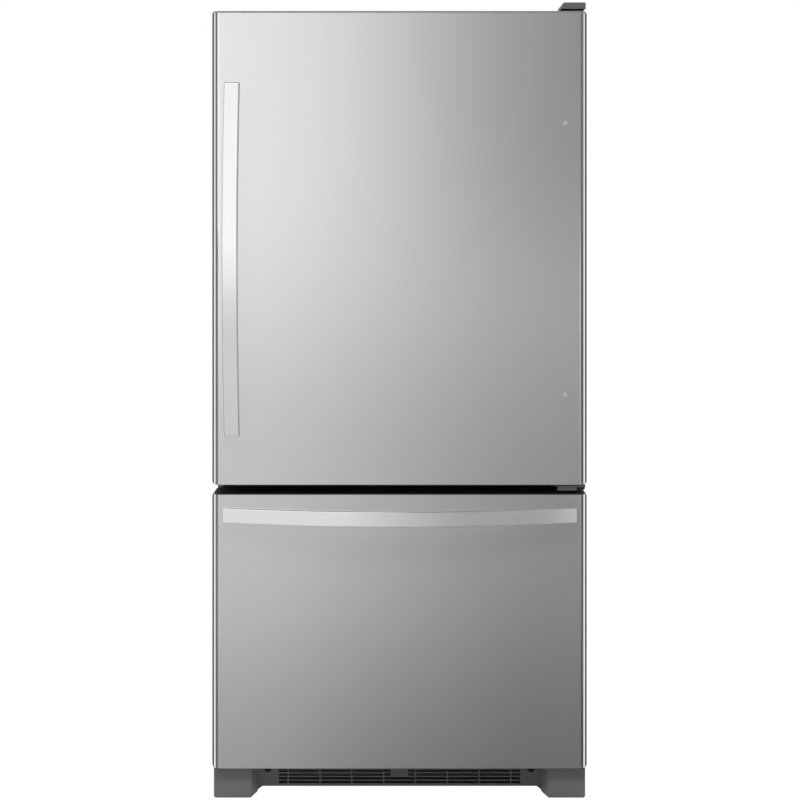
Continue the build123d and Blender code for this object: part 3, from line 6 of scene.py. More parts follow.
import bmesh
import bpy
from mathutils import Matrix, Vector


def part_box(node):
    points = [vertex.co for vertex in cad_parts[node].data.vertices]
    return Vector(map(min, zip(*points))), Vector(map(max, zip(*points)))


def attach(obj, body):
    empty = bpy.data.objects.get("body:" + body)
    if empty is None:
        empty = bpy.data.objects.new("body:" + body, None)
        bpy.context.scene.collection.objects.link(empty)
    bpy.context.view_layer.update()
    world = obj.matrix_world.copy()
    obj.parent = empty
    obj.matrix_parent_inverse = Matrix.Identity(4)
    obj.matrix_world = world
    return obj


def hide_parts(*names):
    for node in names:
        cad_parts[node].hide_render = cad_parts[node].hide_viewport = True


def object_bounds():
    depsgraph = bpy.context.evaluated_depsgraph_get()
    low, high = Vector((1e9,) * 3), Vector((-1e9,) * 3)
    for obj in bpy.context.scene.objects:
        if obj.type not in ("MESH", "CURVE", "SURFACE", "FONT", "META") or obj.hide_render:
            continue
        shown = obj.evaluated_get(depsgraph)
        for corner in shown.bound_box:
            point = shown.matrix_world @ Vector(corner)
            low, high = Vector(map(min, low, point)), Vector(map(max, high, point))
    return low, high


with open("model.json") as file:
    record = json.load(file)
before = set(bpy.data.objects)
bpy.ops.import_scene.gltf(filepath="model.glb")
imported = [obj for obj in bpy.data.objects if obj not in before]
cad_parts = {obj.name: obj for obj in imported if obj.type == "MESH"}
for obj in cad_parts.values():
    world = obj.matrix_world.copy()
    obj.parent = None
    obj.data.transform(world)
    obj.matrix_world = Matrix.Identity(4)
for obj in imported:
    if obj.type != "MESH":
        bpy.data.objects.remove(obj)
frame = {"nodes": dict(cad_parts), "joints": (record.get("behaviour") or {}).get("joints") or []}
cad_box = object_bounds()
nodes = frame["nodes"]


# ---- The photograph's frame ------------------------------------------------------------

PHOTO_WIDTH = 800            # pixels
PIXEL = 0.002215             # metres to a pixel, in the plane of the fronts' faces
HORIZON_ROW = 192            # the camera's height in the picture
AXIS_COLUMN = 399.5          # the refrigerator's middle in the picture
CAMERA_DISTANCE = 2.7        # camera to the fronts' faces
EYE_HEIGHT = 1.354
SENSOR = 36.0                # millimetres

face_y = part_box("door_skin")[0].y
floor_z = cad_box[0][2]
eye = Vector((
    (PHOTO_WIDTH / 2 - AXIS_COLUMN) * PIXEL,
    face_y - CAMERA_DISTANCE,
    EYE_HEIGHT,
))


def make_camera():
    """A level camera whose lens is shifted down, so that uprights stay upright."""
    data = bpy.data.cameras.new("camera")
    data.sensor_width = SENSOR
    data.lens = SENSOR * CAMERA_DISTANCE / (PHOTO_WIDTH * PIXEL)
    data.shift_y = (HORIZON_ROW - PHOTO_WIDTH / 2) / PHOTO_WIDTH
    camera = bpy.data.objects.new("camera", data)
    camera.location = eye
    camera.rotation_euler = (math.pi / 2, 0, 0)
    bpy.context.scene.collection.objects.link(camera)
    bpy.context.scene.camera = camera


make_camera()
bpy.context.scene.view_settings.view_transform = "Standard"


# ---- Shader building blocks ---------------------------------------------------------------

def grey(level):
    """A neutral colour from its 0-255 screen value."""
    share = level / 255
    linear = share / 12.92 if share <= 0.04045 else ((share + 0.055) / 1.055) ** 2.4
    return (linear, linear, linear, 1.0)


def tinted(red, green, blue):
    """A colour from its 0-255 screen values."""
    return tuple(grey(value)[0] for value in (red, green, blue)) + (1.0,)


def darker(colour, share):
    """A colour at a share of its brightness."""
    return tuple(value * share for value in colour[:3]) + (1.0,)


def add_node(tree, kind, **inputs):
    """A shader node with its unlinked inputs set by name."""
    node = tree.nodes.new(kind)
    for name, value in inputs.items():
        node.inputs[name.replace("_", " ")].default_value = value
    return node


def object_space(tree, stretch=(1, 1, 1)):
    """The piece's own coordinates in metres, stretched for grain."""
    source = tree.nodes.new("ShaderNodeTexCoord")
    mapping = add_node(tree, "ShaderNodeMapping", Scale=stretch)
    tree.links.new(source.outputs["Object"], mapping.inputs["Vector"])
    return mapping.outputs["Vector"]


def feed(tree, socket, value):
    """Gives a socket a constant or another socket's output."""
    if isinstance(value, bpy.types.NodeSocket):
        tree.links.new(value, socket)
    else:
        socket.default_value = value


def noise(tree, scale, detail=2.0, stretch=(1, 1, 1)):
    """Fractal noise in the piece's own coordinates."""
    node = add_node(tree, "ShaderNodeTexNoise", Scale=scale, Detail=detail)
    tree.links.new(object_space(tree, stretch), node.inputs["Vector"])
    return node.outputs["Fac"]


def cells(tree, scale):
    """Voronoi cells in the piece's own coordinates."""
    node = add_node(tree, "ShaderNodeTexVoronoi", Scale=scale)
    tree.links.new(object_space(tree), node.inputs["Vector"])
    return node.outputs


def spread(tree, factor, low, high, source=(0.0, 1.0)):
    """Maps one range to another."""
    node = add_node(tree, "ShaderNodeMapRange", From_Min=source[0], From_Max=source[1], To_Min=low,
                    To_Max=high)
    tree.links.new(factor, node.inputs["Value"])
    return node.outputs["Result"]


def mix_colours(tree, factor, first, second):
    """One colour into another by a factor."""
    node = tree.nodes.new("ShaderNodeMix")
    node.data_type = "RGBA"
    feed(tree, node.inputs["A"], first)
    feed(tree, node.inputs["B"], second)
    tree.links.new(factor, node.inputs["Factor"])
    return node.outputs["Result"]


def calculate(tree, operation, first, second=0.0):
    """One step of arithmetic on sockets or numbers."""
    node = tree.nodes.new("ShaderNodeMath")
    node.operation = operation
    for socket, value in zip(node.inputs, (first, second)):
        feed(tree, socket, value)
    return node.outputs[0]


def split_vector(tree, vector):
    """The three numbers of a vector."""
    node = tree.nodes.new("ShaderNodeSeparateXYZ")
    tree.links.new(vector, node.inputs[0])
    return node.outputs


def relief(tree, shader, height, strength, distance):
    """Bump from a height."""
    node = add_node(tree, "ShaderNodeBump", Strength=strength, Distance=distance)
    tree.links.new(height, node.inputs["Height"])
    tree.links.new(node.outputs["Normal"], shader.inputs["Normal"])


def new_material(name, **inputs):
    """A material on the standard shader, with its constants set on the shader's own sockets."""
    material = bpy.data.materials.new(name)
    material.use_nodes = True
    shader = material.node_tree.nodes["Principled BSDF"]
    for key, value in inputs.items():
        shader.inputs[key.replace("_", " ")].default_value = value
    return material, material.node_tree, shader


# ---- Materials ------------------------------------------------------------------------------

EVEN = (1, 1, 1)             # the noise's stretch for metal without a brushed grain
ALONG_Z = (1.0, 1.0, 0.004)  # and for grain along an axis
ALONG_X = (0.004, 1.0, 1.0)
ACROSS_Z = (1.0, 0.0, 0.0)   # the tangent square to that grain
ACROSS_X = (0.0, 0.0, 1.0)

BEND = (0.398, 0.402)        # where the fronts' sides start to roll round
ROLLED_SHARE = 0.3           # the sides' roughness past that bend, as a share of the face's
GRAIN_TONES = 3              # levels either side of the steel's own


def brushed_steel(name, level, roughness, grain=EVEN, across=ACROSS_Z, anisotropy=0.0, metallic=0.92,
                  bend=None):
    """Steel with a fine grain, smoother past a bend where one is given."""
    material, tree, shader = new_material(name, Metallic=metallic, Anisotropic=anisotropy)
    fine = noise(tree, scale=1600, detail=3.0, stretch=grain)
    tones = mix_colours(tree, fine, grey(level - GRAIN_TONES), grey(level + GRAIN_TONES))
    tree.links.new(tones, shader.inputs["Base Color"])
    rough = spread(tree, fine, roughness - 0.02, roughness + 0.02)
    if bend:
        x = split_vector(tree, object_space(tree))[0]
        rolled = spread(tree, calculate(tree, "ABSOLUTE", x), 1.0, ROLLED_SHARE, source=bend)
        rough = calculate(tree, "MULTIPLY", rough, rolled)
    tree.links.new(rough, shader.inputs["Roughness"])
    relief(tree, shader, fine, strength=0.015, distance=0.0001)
    direction = tree.nodes.new("ShaderNodeCombineXYZ")
    for socket, value in zip(direction.inputs, across):
        socket.default_value = value
    tree.links.new(direction.outputs[0], shader.inputs["Tangent"])
    return material


def moulded_plastic(name, colour, roughness, pebble=0.0):
    """Moulded plastic with a faint flow of tone and an optional pebbled surface."""
    material, tree, shader = new_material(name)
    flow = noise(tree, scale=14, detail=3.0)
    tree.links.new(mix_colours(tree, flow, darker(colour, 0.93), colour), shader.inputs["Base Color"])
    tree.links.new(spread(tree, flow, roughness - 0.04, roughness + 0.04), shader.inputs["Roughness"])
    relief(tree, shader, noise(tree, scale=900, detail=4.0), strength=0.05 + pebble, distance=0.0004)
    return material


def painted_steel(name, colour, roughness):
    """Baked enamel over steel, with an even orange-peel pebble."""
    material, tree, shader = new_material(name, Coat_Weight=0.15, Coat_Roughness=0.3)
    tones = mix_colours(tree, noise(tree, scale=5), darker(colour, 0.95), colour)
    tree.links.new(tones, shader.inputs["Base Color"])
    rough = spread(tree, noise(tree, scale=60), roughness - 0.05, roughness + 0.05)
    tree.links.new(rough, shader.inputs["Roughness"])
    relief(tree, shader, noise(tree, scale=520), strength=0.35, distance=0.0004)
    return material


def galvanised_steel(name):
    """Zinc-coated sheet with crystal spangle."""
    material, tree, shader = new_material(name, Metallic=1.0)
    tone = tree.nodes.new("ShaderNodeSeparateColor")
    tree.links.new(cells(tree, scale=90)["Color"], tone.inputs[0])
    tree.links.new(mix_colours(tree, tone.outputs[0], grey(172), grey(196)), shader.inputs["Base Color"])
    tree.links.new(spread(tree, tone.outputs[1], 0.34, 0.5), shader.inputs["Roughness"])
    return material


def clear_plastic(name, colour, roughness):
    """Clear moulded plastic with faint flow marks."""
    material, tree, shader = new_material(name, Base_Color=colour, IOR=1.49, Transmission_Weight=0.9)
    rough = spread(tree, noise(tree, scale=25), roughness, roughness + 0.06)
    tree.links.new(rough, shader.inputs["Roughness"])
    relief(tree, shader, noise(tree, scale=18, detail=1.0), strength=0.05, distance=0.002)
    return material


def rubber(name, level):
    """Soft matt gasket rubber."""
    material, tree, shader = new_material(name, Sheen_Weight=0.1, Specular_IOR_Level=0.3)
    dusty = noise(tree, scale=120, detail=3.0)
    tree.links.new(mix_colours(tree, dusty, grey(level - 4), grey(level + 6)), shader.inputs["Base Color"])
    tree.links.new(spread(tree, dusty, 0.6, 0.75), shader.inputs["Roughness"])
    relief(tree, shader, noise(tree, scale=1500), strength=0.1, distance=0.0002)
    return material


def foamed(name, colour):
    """Rigid insulation foam with small cells."""
    material, tree, shader = new_material(name, Roughness=0.9)
    bubbles = cells(tree, scale=400)["Distance"]
    tree.links.new(mix_colours(tree, bubbles, darker(colour, 0.85), colour), shader.inputs["Base Color"])
    relief(tree, shader, bubbles, strength=0.4, distance=0.0005)
    return material


steel = brushed_steel("stainless", 204, 0.24, ALONG_Z, ACROSS_Z, 0.3, bend=BEND)
# The handles' steels are lighter copies of the fronts' steel, the level handle's lightest: painted light
# that brightens their reflections.
lit_upright_steel = brushed_steel("lit_upright_handle_steel", 212, 0.15, ALONG_Z, ACROSS_Z, 0.4, 0.8)
lit_level_steel = brushed_steel("lit_level_handle_steel", 226, 0.11, ALONG_X, ACROSS_X, 0.4, 0.8)
# The hinge cover's plastic is a darker copy of the trim plastic, painted shade against the top lamp's
# light on it.
shaded_cover_plastic = moulded_plastic("shaded_cover_plastic", grey(84), 0.4, 0.1)
cabinet_paint = painted_steel("cabinet_paint", grey(136), 0.45)
zinc = galvanised_steel("zinc_steel")
plated = brushed_steel("plated_steel", 196, 0.32)
insulation = foamed("insulation", tinted(232, 214, 160))
white_liner = moulded_plastic("white_liner", grey(238), 0.25)
cap_plastic = moulded_plastic("cap_plastic", grey(120), 0.4)
trim_plastic = moulded_plastic("trim_plastic", grey(106), 0.4, 0.1)
grille_plastic = moulded_plastic("grille_plastic", grey(92), 0.45, 0.1)
hinge_paint = painted_steel("hinge_paint", grey(104), 0.4)
gasket_rubber = rubber("gasket_rubber", 30)
# Near-black plastic: the hinge bushes' own colour, and painted shade on the mullion rail and the drawer's
# end caps.
black_and_shade_plastic = moulded_plastic("black_and_shade_plastic", grey(34), 0.5)
bin_plastic = clear_plastic("bin_plastic", tinted(240, 246, 250), 0.04)
glass = clear_plastic("shelf_glass", tinted(226, 244, 238), 0.0)
shelf_trim = moulded_plastic("shelf_trim", grey(230), 0.3)
# Black paint: the compressor's own colour; on the base pan and roller brackets it is also painted shade.
black_paint = painted_steel("black_paint", grey(38), 0.35)
coil_metal = brushed_steel("coil_aluminium", 200, 0.35)
fan_plastic = moulded_plastic("fan_plastic", grey(58), 0.4)
knob_plastic = moulded_plastic("knob_plastic", grey(214), 0.28)
lens_plastic = clear_plastic("lens_plastic", grey(245), 0.45)
roller_plastic = moulded_plastic("roller_plastic", grey(62), 0.5)
bright_plug = brushed_steel("plug_plastic", 222, 0.3)

finishes = {
    steel: ["door_skin", "drawer_skin"],
    # the handles take the lighter, painted-light copies of the steel
    lit_upright_steel: ["door_handle"],
    lit_level_steel: ["drawer_handle"],
    cabinet_paint: ["cabinet_wrapper"],
    zinc: ["back_panel", "machine_cover"],
    plated: ["hinge_screws", "slide_outer_rails", "slide_middle_members", "drawer_brackets",
             "levelling_leg_left", "levelling_leg_right"],
    hinge_paint: ["centre_hinge"],
    insulation: ["cabinet_foam", "door_foam", "drawer_foam"],
    white_liner: ["fresh_food_liner", "freezer_liner", "door_liner", "drawer_liner", "evaporator_cover",
                  "air_tower", "control_housing"],
    cap_plastic: ["door_end_caps"],
    trim_plastic: ["foot_covers"],
    # the hinge cover takes the darker, painted-shade copy of the trim plastic
    shaded_cover_plastic: ["top_hinge_cover"],
    grille_plastic: ["base_grille"],
    gasket_rubber: ["door_gasket", "drawer_gasket", "cord_inlet"],
    # The mullion rail and the drawer's end caps are near black as painted shade for the gap between door
    # and drawer; the door's own caps stay grey.
    black_and_shade_plastic: ["mullion_rail", "drawer_end_caps"],
    bin_plastic: ["crisper_left", "crisper_right", "pantry_drawer", "door_bins"],
    glass: ["shelf_glass"],
    shelf_trim: ["shelf_frames", "lower_basket", "upper_basket"],
    # Black on the base pan and roller brackets is partly painted shade that keeps the grille's slots dark;
    # the top hinge is painted as dark as the gap under the hinge cover.
    black_paint: ["compressor", "condenser_fan_shroud", "base_pan", "roller_brackets", "top_hinge"],
    coil_metal: ["condenser", "evaporator"],
    fan_plastic: ["condenser_fan", "evaporator_fan", "drain_pan"],
    knob_plastic: ["fridge_knob", "freezer_knob", "light_switch", "humidity_slider_left",
                   "humidity_slider_right"],
    lens_plastic: ["light_lens"],
    roller_plastic: ["front_rollers", "rear_rollers"],
    bright_plug: ["door_plugs"],
}
for material, names in finishes.items():
    for name in names:
        node = nodes[name]
        node.data.materials.clear()
        node.data.materials.append(material)
for name in ("door_handle", "drawer_handle"):
    nodes[name].visible_glossy = False      # the rough fronts show no image of their handles


# ---- Piece builders -------------------------------------------------------------------------

MM = 0.001
SHARP_FROM = math.radians(35)   # edges that turn further than this stay sharp


def add_piece(name, build, body, material):
    """A detail piece from a bmesh, riding on a body."""
    bmesh.ops.recalc_face_normals(build, faces=build.faces)
    mesh = bpy.data.meshes.new(name)
    build.to_mesh(mesh)
    build.free()
    mesh.shade_smooth()
    mesh.set_sharp_from_angle(angle=SHARP_FROM)
    mesh.materials.append(material)
    piece = bpy.data.objects.new(name, mesh)
    bpy.context.scene.collection.objects.link(piece)
    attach(piece, body)
    return piece


def frame_of(axis):
    """An axis of unit length and two directions square to it."""
    axis = Vector(axis).normalized()
    helper = Vector((0, 0, 1)) if abs(axis.z) < 0.9 else Vector((1, 0, 0))
    first = axis.cross(helper).normalized()
    return axis, first, axis.cross(first)


def skin_rings(build, rings, closed):
    """Faces between successive rings of points, capped unless the last ring meets the first."""
    loops = [[build.verts.new(point) for point in ring] for ring in rings]
    pairs = list(zip(loops, loops[1:]))
    if closed:
        pairs.append((loops[-1], loops[0]))
    count = len(loops[0])
    for lower, upper in pairs:
        for index in range(count):
            following = (index + 1) % count
            build.faces.new((lower[index], lower[following], upper[following], upper[index]))
    if not closed:
        build.faces.new(loops[0])
        build.faces.new(loops[-1])


def turned(build, centre, axis, profile, steps=32, closed=False):
    """A turned shape from (radius, distance along the axis) points."""
    axis, first, second = frame_of(axis)
    rings = []
    for radius, along in profile:
        middle = Vector(centre) + axis * along
        rings.append([middle + (first * math.cos(2 * math.pi * step / steps)
                                + second * math.sin(2 * math.pi * step / steps)) * radius
                      for step in range(steps)])
    skin_rings(build, rings, closed)


CORNER_STEPS = 8


def rounded_loop(low_x, high_x, low_z, high_z, radius):
    """Points round a rectangle with rounded corners, in X and Z."""
    left, right = low_x + radius, high_x - radius
    bottom, top = low_z + radius, high_z - radius
    points = []
    for corner, (x, z) in enumerate(((right, top), (left, top), (left, bottom), (right, bottom))):
        for step in range(CORNER_STEPS + 1):
            turn = math.pi / 2 * (corner + step / CORNER_STEPS)
            points.append((x + radius * math.cos(turn), z + radius * math.sin(turn)))
    return points


# ---- Seals ------------------------------------------------------------------------------------

# Section of a bellows seal: (in from the outer edge, back from the front), millimetres
SEAL = [(1.0, 0.0), (15.0, 0.0), (15.0, 1.6), (12.6, 2.6), (14.8, 5.2), (12.4, 7.6), (15.0, 8.8),
        (15.4, 13.2), (14.6, 13.7), (1.4, 13.7), (0.6, 13.2), (1.0, 8.8), (3.6, 7.6), (1.2, 5.2),
        (3.4, 2.6), (1.0, 1.6)]
SEAL_CORNER = 14 * MM        # radius of the seal's outer corners
TIGHTEST = 0.8 * MM          # and the least radius inside them


def bellows_seal(node, body):
    """A magnetic seal with folds round the edge of a front, in place of the plain one."""
    low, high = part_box(node)
    build = bmesh.new()
    rings = []
    for inward, back in SEAL:
        inset = inward * MM
        loop = rounded_loop(low.x + inset, high.x - inset, low.z + inset, high.z - inset,
                            max(SEAL_CORNER - inset, TIGHTEST))
        rings.append([(x, low.y + back * MM, z) for x, z in loop])
    skin_rings(build, rings, True)
    piece = add_piece(node + "_bellows", build, body, gasket_rubber)
    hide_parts(node)


bellows_seal("door_gasket", "door")
bellows_seal("drawer_gasket", "freezer_drawer")


# ---- Hinge bushes ---------------------------------------------------------------------------

SLEEVE = 0.5 * MM            # the bushes' wall


def hinge_sleeve(name, centre, radius, length, body):
    """A black ring round a hinge's boss."""
    build = bmesh.new()
    outer = radius + SLEEVE
    section = [(radius, 0), (outer, 0), (outer, length), (radius, length)]
    turned(build, centre, (0, 0, 1), section, closed=True)
    add_piece(name, build, body, black_and_shade_plastic)


door_hinge = next(joint for joint in frame["joints"] if joint["name"] == "door_hinge")
pin_x, pin_y = door_hinge["pos_m"][:2]
BOSS = 10.02 * MM            # radius of the hinge's boss, with a hair of clearance
HUB_LOW = 691 * MM
HUB = 6 * MM                 # length of the lower bush
COLLAR_LOW = 701.4 * MM
COLLAR = 3.5 * MM            # length of the upper bush
hinge_sleeve("lower_hinge_bush", (pin_x, pin_y, HUB_LOW), BOSS, HUB, "cabinet")
hinge_sleeve("upper_hinge_bush", (pin_x, pin_y, COLLAR_LOW), BOSS, COLLAR, "door")


# ---- Screws and dial marks ----------------------------------------------------------------------

# A screw's head: (radius, height above the face), millimetres
SCREW_HEAD = [(0.2, 0.0), (4.0, 0.0), (4.0, 0.6), (3.0, 1.7), (1.8, 2.1), (1.6, 1.0), (0.2, 1.0)]
SCREW_STEPS = 20


def screws(name, places, axis, body):
    """Pan-head screws with a recess, standing on a face."""
    profile = [(radius * MM, height * MM) for radius, height in SCREW_HEAD]
    build = bmesh.new()
    for place in places:
        turned(build, place, axis, profile, SCREW_STEPS)
    add_piece(name, build, body, plated)


PANEL_INSET = 8 * MM         # the screws' distance in from the cover's edges
COVER_SPACES = 4             # spaces between the screws along an edge


def edge_places(low, high, inset, spaces):
    """Places along a panel's lower and upper edge, in X and Z."""
    run = high.x - low.x - 2 * inset
    columns = [low.x + inset + run * index / spaces for index in range(spaces + 1)]
    return [(x, z) for x in columns for z in (low.z + inset, high.z - inset)]


cover_low, cover_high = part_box("machine_cover")
cover_places = edge_places(cover_low, cover_high, PANEL_INSET, COVER_SPACES)
screws("machine_cover_screws", [(x, cover_high.y, z) for x, z in cover_places], (0, 1, 0), "cabinet")


DIAL_TICKS = 7
DIAL_SWEEP = 270             # degrees from the first tick to the last
DIAL_START = 90 + DIAL_SWEEP / 2
TICK_WIDTH = 1.6 * MM
TICK_RISE = 0.5 * MM
SHORT_TICK = 3.0 * MM
LONG_TICK = 4.5 * MM
TICK_GAP = 3.0 * MM          # from the knob's rim to its ticks


def dial_marks(name, node):
    """Raised marks round a knob that grow longer clockwise."""
    low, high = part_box(node)
    middle = (low + high) / 2
    ring = (high.x - low.x) / 2 + TICK_GAP
    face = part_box("control_housing")[0].y
    build = bmesh.new()
    for index in range(DIAL_TICKS):
        share = index / (DIAL_TICKS - 1)
        angle = math.radians(DIAL_START - DIAL_SWEEP * share)
        length = SHORT_TICK + (LONG_TICK - SHORT_TICK) * share
        radial = Vector((math.cos(angle), 0, math.sin(angle)))
        side = Vector((-radial.z, 0, radial.x)) * (TICK_WIDTH / 2)
        base = Vector((middle.x, face, middle.z)) + radial * ring
        tip = base + radial * length
        raised = Vector((0, -TICK_RISE, 0))
        foot = [base - side, base + side, tip + side, tip - side]
        skin_rings(build, [foot, [corner + raised for corner in foot]], closed=False)
    add_piece(name, build, "cabinet", fan_plastic)


dial_marks("fridge_dial_marks", "fridge_knob")
dial_marks("freezer_dial_marks", "freezer_knob")


# ---- Floor, world and lamps -----------------------------------------------------------------

FLOOR_HALF = 30.0
GLOW = 0.97                  # the plain white's share of the floor that the camera sees
WHITE_STRENGTH = 1.035       # of that white, so that the floor meets the background without a line
SHADE_HALF = 0.40            # the floor in the dark under the cabinet, to each side of the middle
SHADE_FRONT = -0.275
SHADE_BACK = 0.41
DIFFUSE_LEVEL = 108          # the world's grey for all rays that only light the refrigerator
WHITE = (1, 1, 1, 1)


def ramp(tree, value, stops, smooth=False):
    """A curve through (position, brightness) stops."""
    node = tree.nodes.new("ShaderNodeValToRGB")
    node.color_ramp.interpolation = "B_SPLINE" if smooth else "LINEAR"
    elements = node.color_ramp.elements
    while len(elements) < len(stops):
        elements.new(0.5)
    peak = max(brightness for _, brightness in stops)
    for element, (position, brightness) in zip(elements, stops):
        element.position = position
        element.color = (brightness / peak, brightness / peak, brightness / peak, 1.0)
    tree.links.new(value, node.inputs["Fac"])
    return calculate(tree, "MULTIPLY", node.outputs["Color"], peak)


def by_angle(stops):
    """Stops given by degrees round from the front, positive to the right."""
    return [(angle / 360 + 0.5, brightness) for angle, brightness in stops]


def by_height(stops):
    """Stops given by degrees above the horizon."""
    return [(math.sin(math.radians(angle)) / 2 + 0.5, brightness) for angle, brightness in stops]


# What the steel mirrors of the room, by degrees round from the front and above the horizon: a light
# bank ahead on the left that ends at the middle, a pale strip to its right, a white wall on each
# side, and a pale wall at the rear between dark corners.
BANK = [(-46, 0.0), (-38, 1.0), (-1.5, 1.0), (2.5, 0.0)]
BANK_HEIGHT = [(-6, 1.35), (-2, 1.35), (8, 1.3), (32, 1.2), (42, 0.2), (50, 0.0)]
ROOM = [(-160, 2.6), (-150, 0.1), (-103, 0.1), (-98, 6.0), (-75, 6.0), (-68, 0.9), (-46, 0.9),
        (-38, 1.0), (15, 1.0), (18, 2.2), (30, 2.0), (36, 0.9), (68, 0.9), (75, 6.0), (98, 6.0),
        (103, 0.1), (150, 0.1), (160, 2.6)]
ROOM_HEIGHT = [(-6, 0.22), (8, 0.19), (34, 0.2), (44, 0.1), (80, 0.04)]


def blended(tree, share, first, second):
    """One shader into another by a share."""
    mix = tree.nodes.new("ShaderNodeMixShader")
    tree.links.new(share, mix.inputs[0])
    tree.links.new(first.outputs[0], mix.inputs[1])
    tree.links.new(second.outputs[0], mix.inputs[2])
    return mix


def turn_of(tree, x, ahead):
    """The way round from the front, as a share of a whole turn."""
    angle = calculate(tree, "ARCTAN2", x, ahead)
    return calculate(tree, "ADD", calculate(tree, "DIVIDE", angle, 2 * math.pi), 0.5)


# What the steel mirrors of the floor, fixed to the floor itself: brightness by metres from the
# fronts' middle, by degrees round from a point as far behind the fronts as the photograph's camera
# stands before them, and by degrees round from the fronts' edges.
FLOOR_REACH = 16.0           # metres that the whole of the first curve spans
FRONT_HALF = 0.41
FLOOR_NEAR = [(0, 0.38), (0.3, 0.47), (0.9, 0.66), (1.4, 0.84), (2.6, 0.92), (3.8, 0.9), (6.3, 1.05),
              (10, 1.3), (14, 1.4)]
FLOOR_FAN = [(-46, 0.5), (-38, 1.0), (-6, 1.0), (0, 0.68), (6, 0.4), (15, 0.38), (18, 0.7), (24, 0.7),
             (30, 0.55), (36, 0.3)]
FLOOR_FRONT = [(30, 1.0), (38, 0.25), (68, 0.25), (72, 0.0)]
FLOOR_SIDES = [(68, 0.0), (75, 1.4), (97, 1.4), (102, 0.05), (150, 0.05), (160, 0.5)]


def clear_of_cabinet(tree, x, y):
    """1 on the floor round the cabinet, 0 in the dark under it."""
    beside = calculate(tree, "GREATER_THAN", calculate(tree, "ABSOLUTE", x), SHADE_HALF)
    before = calculate(tree, "LESS_THAN", y, SHADE_FRONT)
    behind = calculate(tree, "GREATER_THAN", y, SHADE_BACK)
    return calculate(tree, "MAXIMUM", beside, calculate(tree, "MAXIMUM", before, behind))


def mirrored_floor(tree, x, y):
    """The brightness that reflections show of the floor."""
    ahead = calculate(tree, "SUBTRACT", face_y, y)
    squares = [calculate(tree, "MULTIPLY", side, side) for side in (x, ahead)]
    reach = calculate(tree, "SQRT", calculate(tree, "ADD", *squares))
    near = ramp(tree, calculate(tree, "DIVIDE", reach, FLOOR_REACH),
                [(distance / FLOOR_REACH, brightness) for distance, brightness in FLOOR_NEAR])
    far_ahead = calculate(tree, "ADD", ahead, CAMERA_DISTANCE)
    fan = ramp(tree, turn_of(tree, x, far_ahead), by_angle(FLOOR_FAN))
    beyond = calculate(tree, "SUBTRACT", calculate(tree, "ABSOLUTE", x), FRONT_HALF)
    turn = turn_of(tree, beyond, ahead)
    front = calculate(tree, "MULTIPLY", fan, ramp(tree, turn, by_angle(FLOOR_FRONT)))
    sides = ramp(tree, turn, by_angle(FLOOR_SIDES))
    return calculate(tree, "ADD", calculate(tree, "MULTIPLY", near, front), sides)


def make_floor():
    """A pale floor, white to the camera except in the dark under the cabinet, that glows for reflections
    with a painted pattern of light and shade.
    """
    material, tree, shader = new_material("floor", Roughness=0.8)
    tones = mix_colours(tree, noise(tree, scale=3), grey(238), grey(244))
    tree.links.new(tones, shader.inputs["Base Color"])
    place = tree.nodes.new("ShaderNodeNewGeometry")
    x, y, _ = split_vector(tree, place.outputs["Position"])
    path = tree.nodes.new("ShaderNodeLightPath")
    glow = calculate(tree, "MULTIPLY", clear_of_cabinet(tree, x, y), GLOW)
    seen = calculate(tree, "MULTIPLY", path.outputs["Is Camera Ray"], glow)
    white = add_node(tree, "ShaderNodeEmission", Color=WHITE, Strength=WHITE_STRENGTH)
    mirrored = add_node(tree, "ShaderNodeEmission", Color=WHITE)
    tree.links.new(mirrored_floor(tree, x, y), mirrored.inputs["Strength"])
    mix = blended(tree, seen, shader, white)
    mix = blended(tree, path.outputs["Is Glossy Ray"], mix, mirrored)
    tree.links.new(mix.outputs[0], tree.nodes["Material Output"].inputs["Surface"])
    mesh = bpy.data.meshes.new("floor")
    turns = ((-1, -1), (1, -1), (1, 1), (-1, 1))
    corners = [(across * FLOOR_HALF, along * FLOOR_HALF, floor_z) for across, along in turns]
    mesh.from_pydata(corners, [], [(0, 1, 2, 3)])
    mesh.materials.append(material)
    floor = bpy.data.objects.new("floor", mesh)
    bpy.context.scene.collection.objects.link(floor)


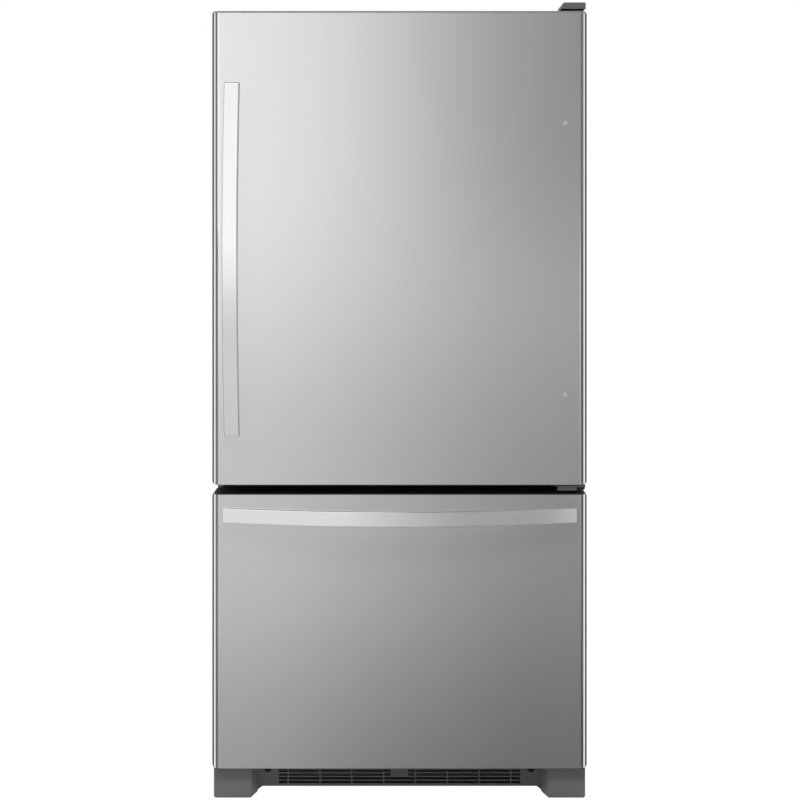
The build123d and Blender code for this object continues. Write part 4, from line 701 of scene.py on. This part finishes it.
def make_world():
    """White behind the refrigerator, and a studio that only reflections show."""
    world = bpy.data.worlds.new("studio")
    bpy.context.scene.world = world
    world.use_nodes = True
    tree = world.node_tree
    background = tree.nodes["Background"]
    place = tree.nodes.new("ShaderNodeTexCoord")
    x, y, z = split_vector(tree, place.outputs["Generated"])
    turn = turn_of(tree, x, calculate(tree, "MULTIPLY", y, -1.0))
    height = calculate(tree, "ADD", calculate(tree, "MULTIPLY", z, 0.5), 0.5)
    bank = calculate(tree, "MULTIPLY", ramp(tree, turn, by_angle(BANK)),
                     ramp(tree, height, by_height(BANK_HEIGHT), True))
    room = calculate(tree, "MULTIPLY", ramp(tree, turn, by_angle(ROOM)),
                     ramp(tree, height, by_height(ROOM_HEIGHT), True))
    path = tree.nodes.new("ShaderNodeLightPath")
    rays = (path.outputs["Is Camera Ray"], path.outputs["Is Transmission Ray"])
    straight = calculate(tree, "MAXIMUM", *rays)
    studio = calculate(tree, "ADD", bank, room)
    indirect = mix_colours(tree, path.outputs["Is Glossy Ray"], grey(DIFFUSE_LEVEL), studio)
    tree.links.new(mix_colours(tree, straight, indirect, WHITE), background.inputs["Color"])
    background.inputs["Strength"].default_value = 1.0


def area_lamp(name, place, target, width, height, watts):
    """A soft rectangular lamp aimed at a point, unseen by reflections."""
    data = bpy.data.lights.new(name, "AREA")
    data.shape = "RECTANGLE"
    data.size = width
    data.size_y = height
    data.energy = watts
    lamp = bpy.data.objects.new(name, data)
    lamp.location = place
    lamp.rotation_euler = (Vector(target) - Vector(place)).to_track_quat("-Z", "Y").to_euler()
    lamp.visible_glossy = False
    bpy.context.scene.collection.objects.link(lamp)


make_floor()
make_world()
area_lamp("top", (-0.4, -2.6, 4.2), (0, -0.4, 0.6), 2.4, 1.0, 150)
area_lamp("key", (-2.2, -2.8, 2.6), (0, 0, 0.9), 1.8, 1.8, 12)
area_lamp("left", (-3.2, 0.9, 2.2), (0, 0.2, 0.9), 2.0, 2.0, 75)
area_lamp("right", (3.2, 0.9, 2.2), (0, 0.2, 0.9), 2.0, 2.0, 60)
area_lamp("rear", (0.6, 3.4, 2.4), (0, 0, 0.9), 2.0, 2.0, 75)
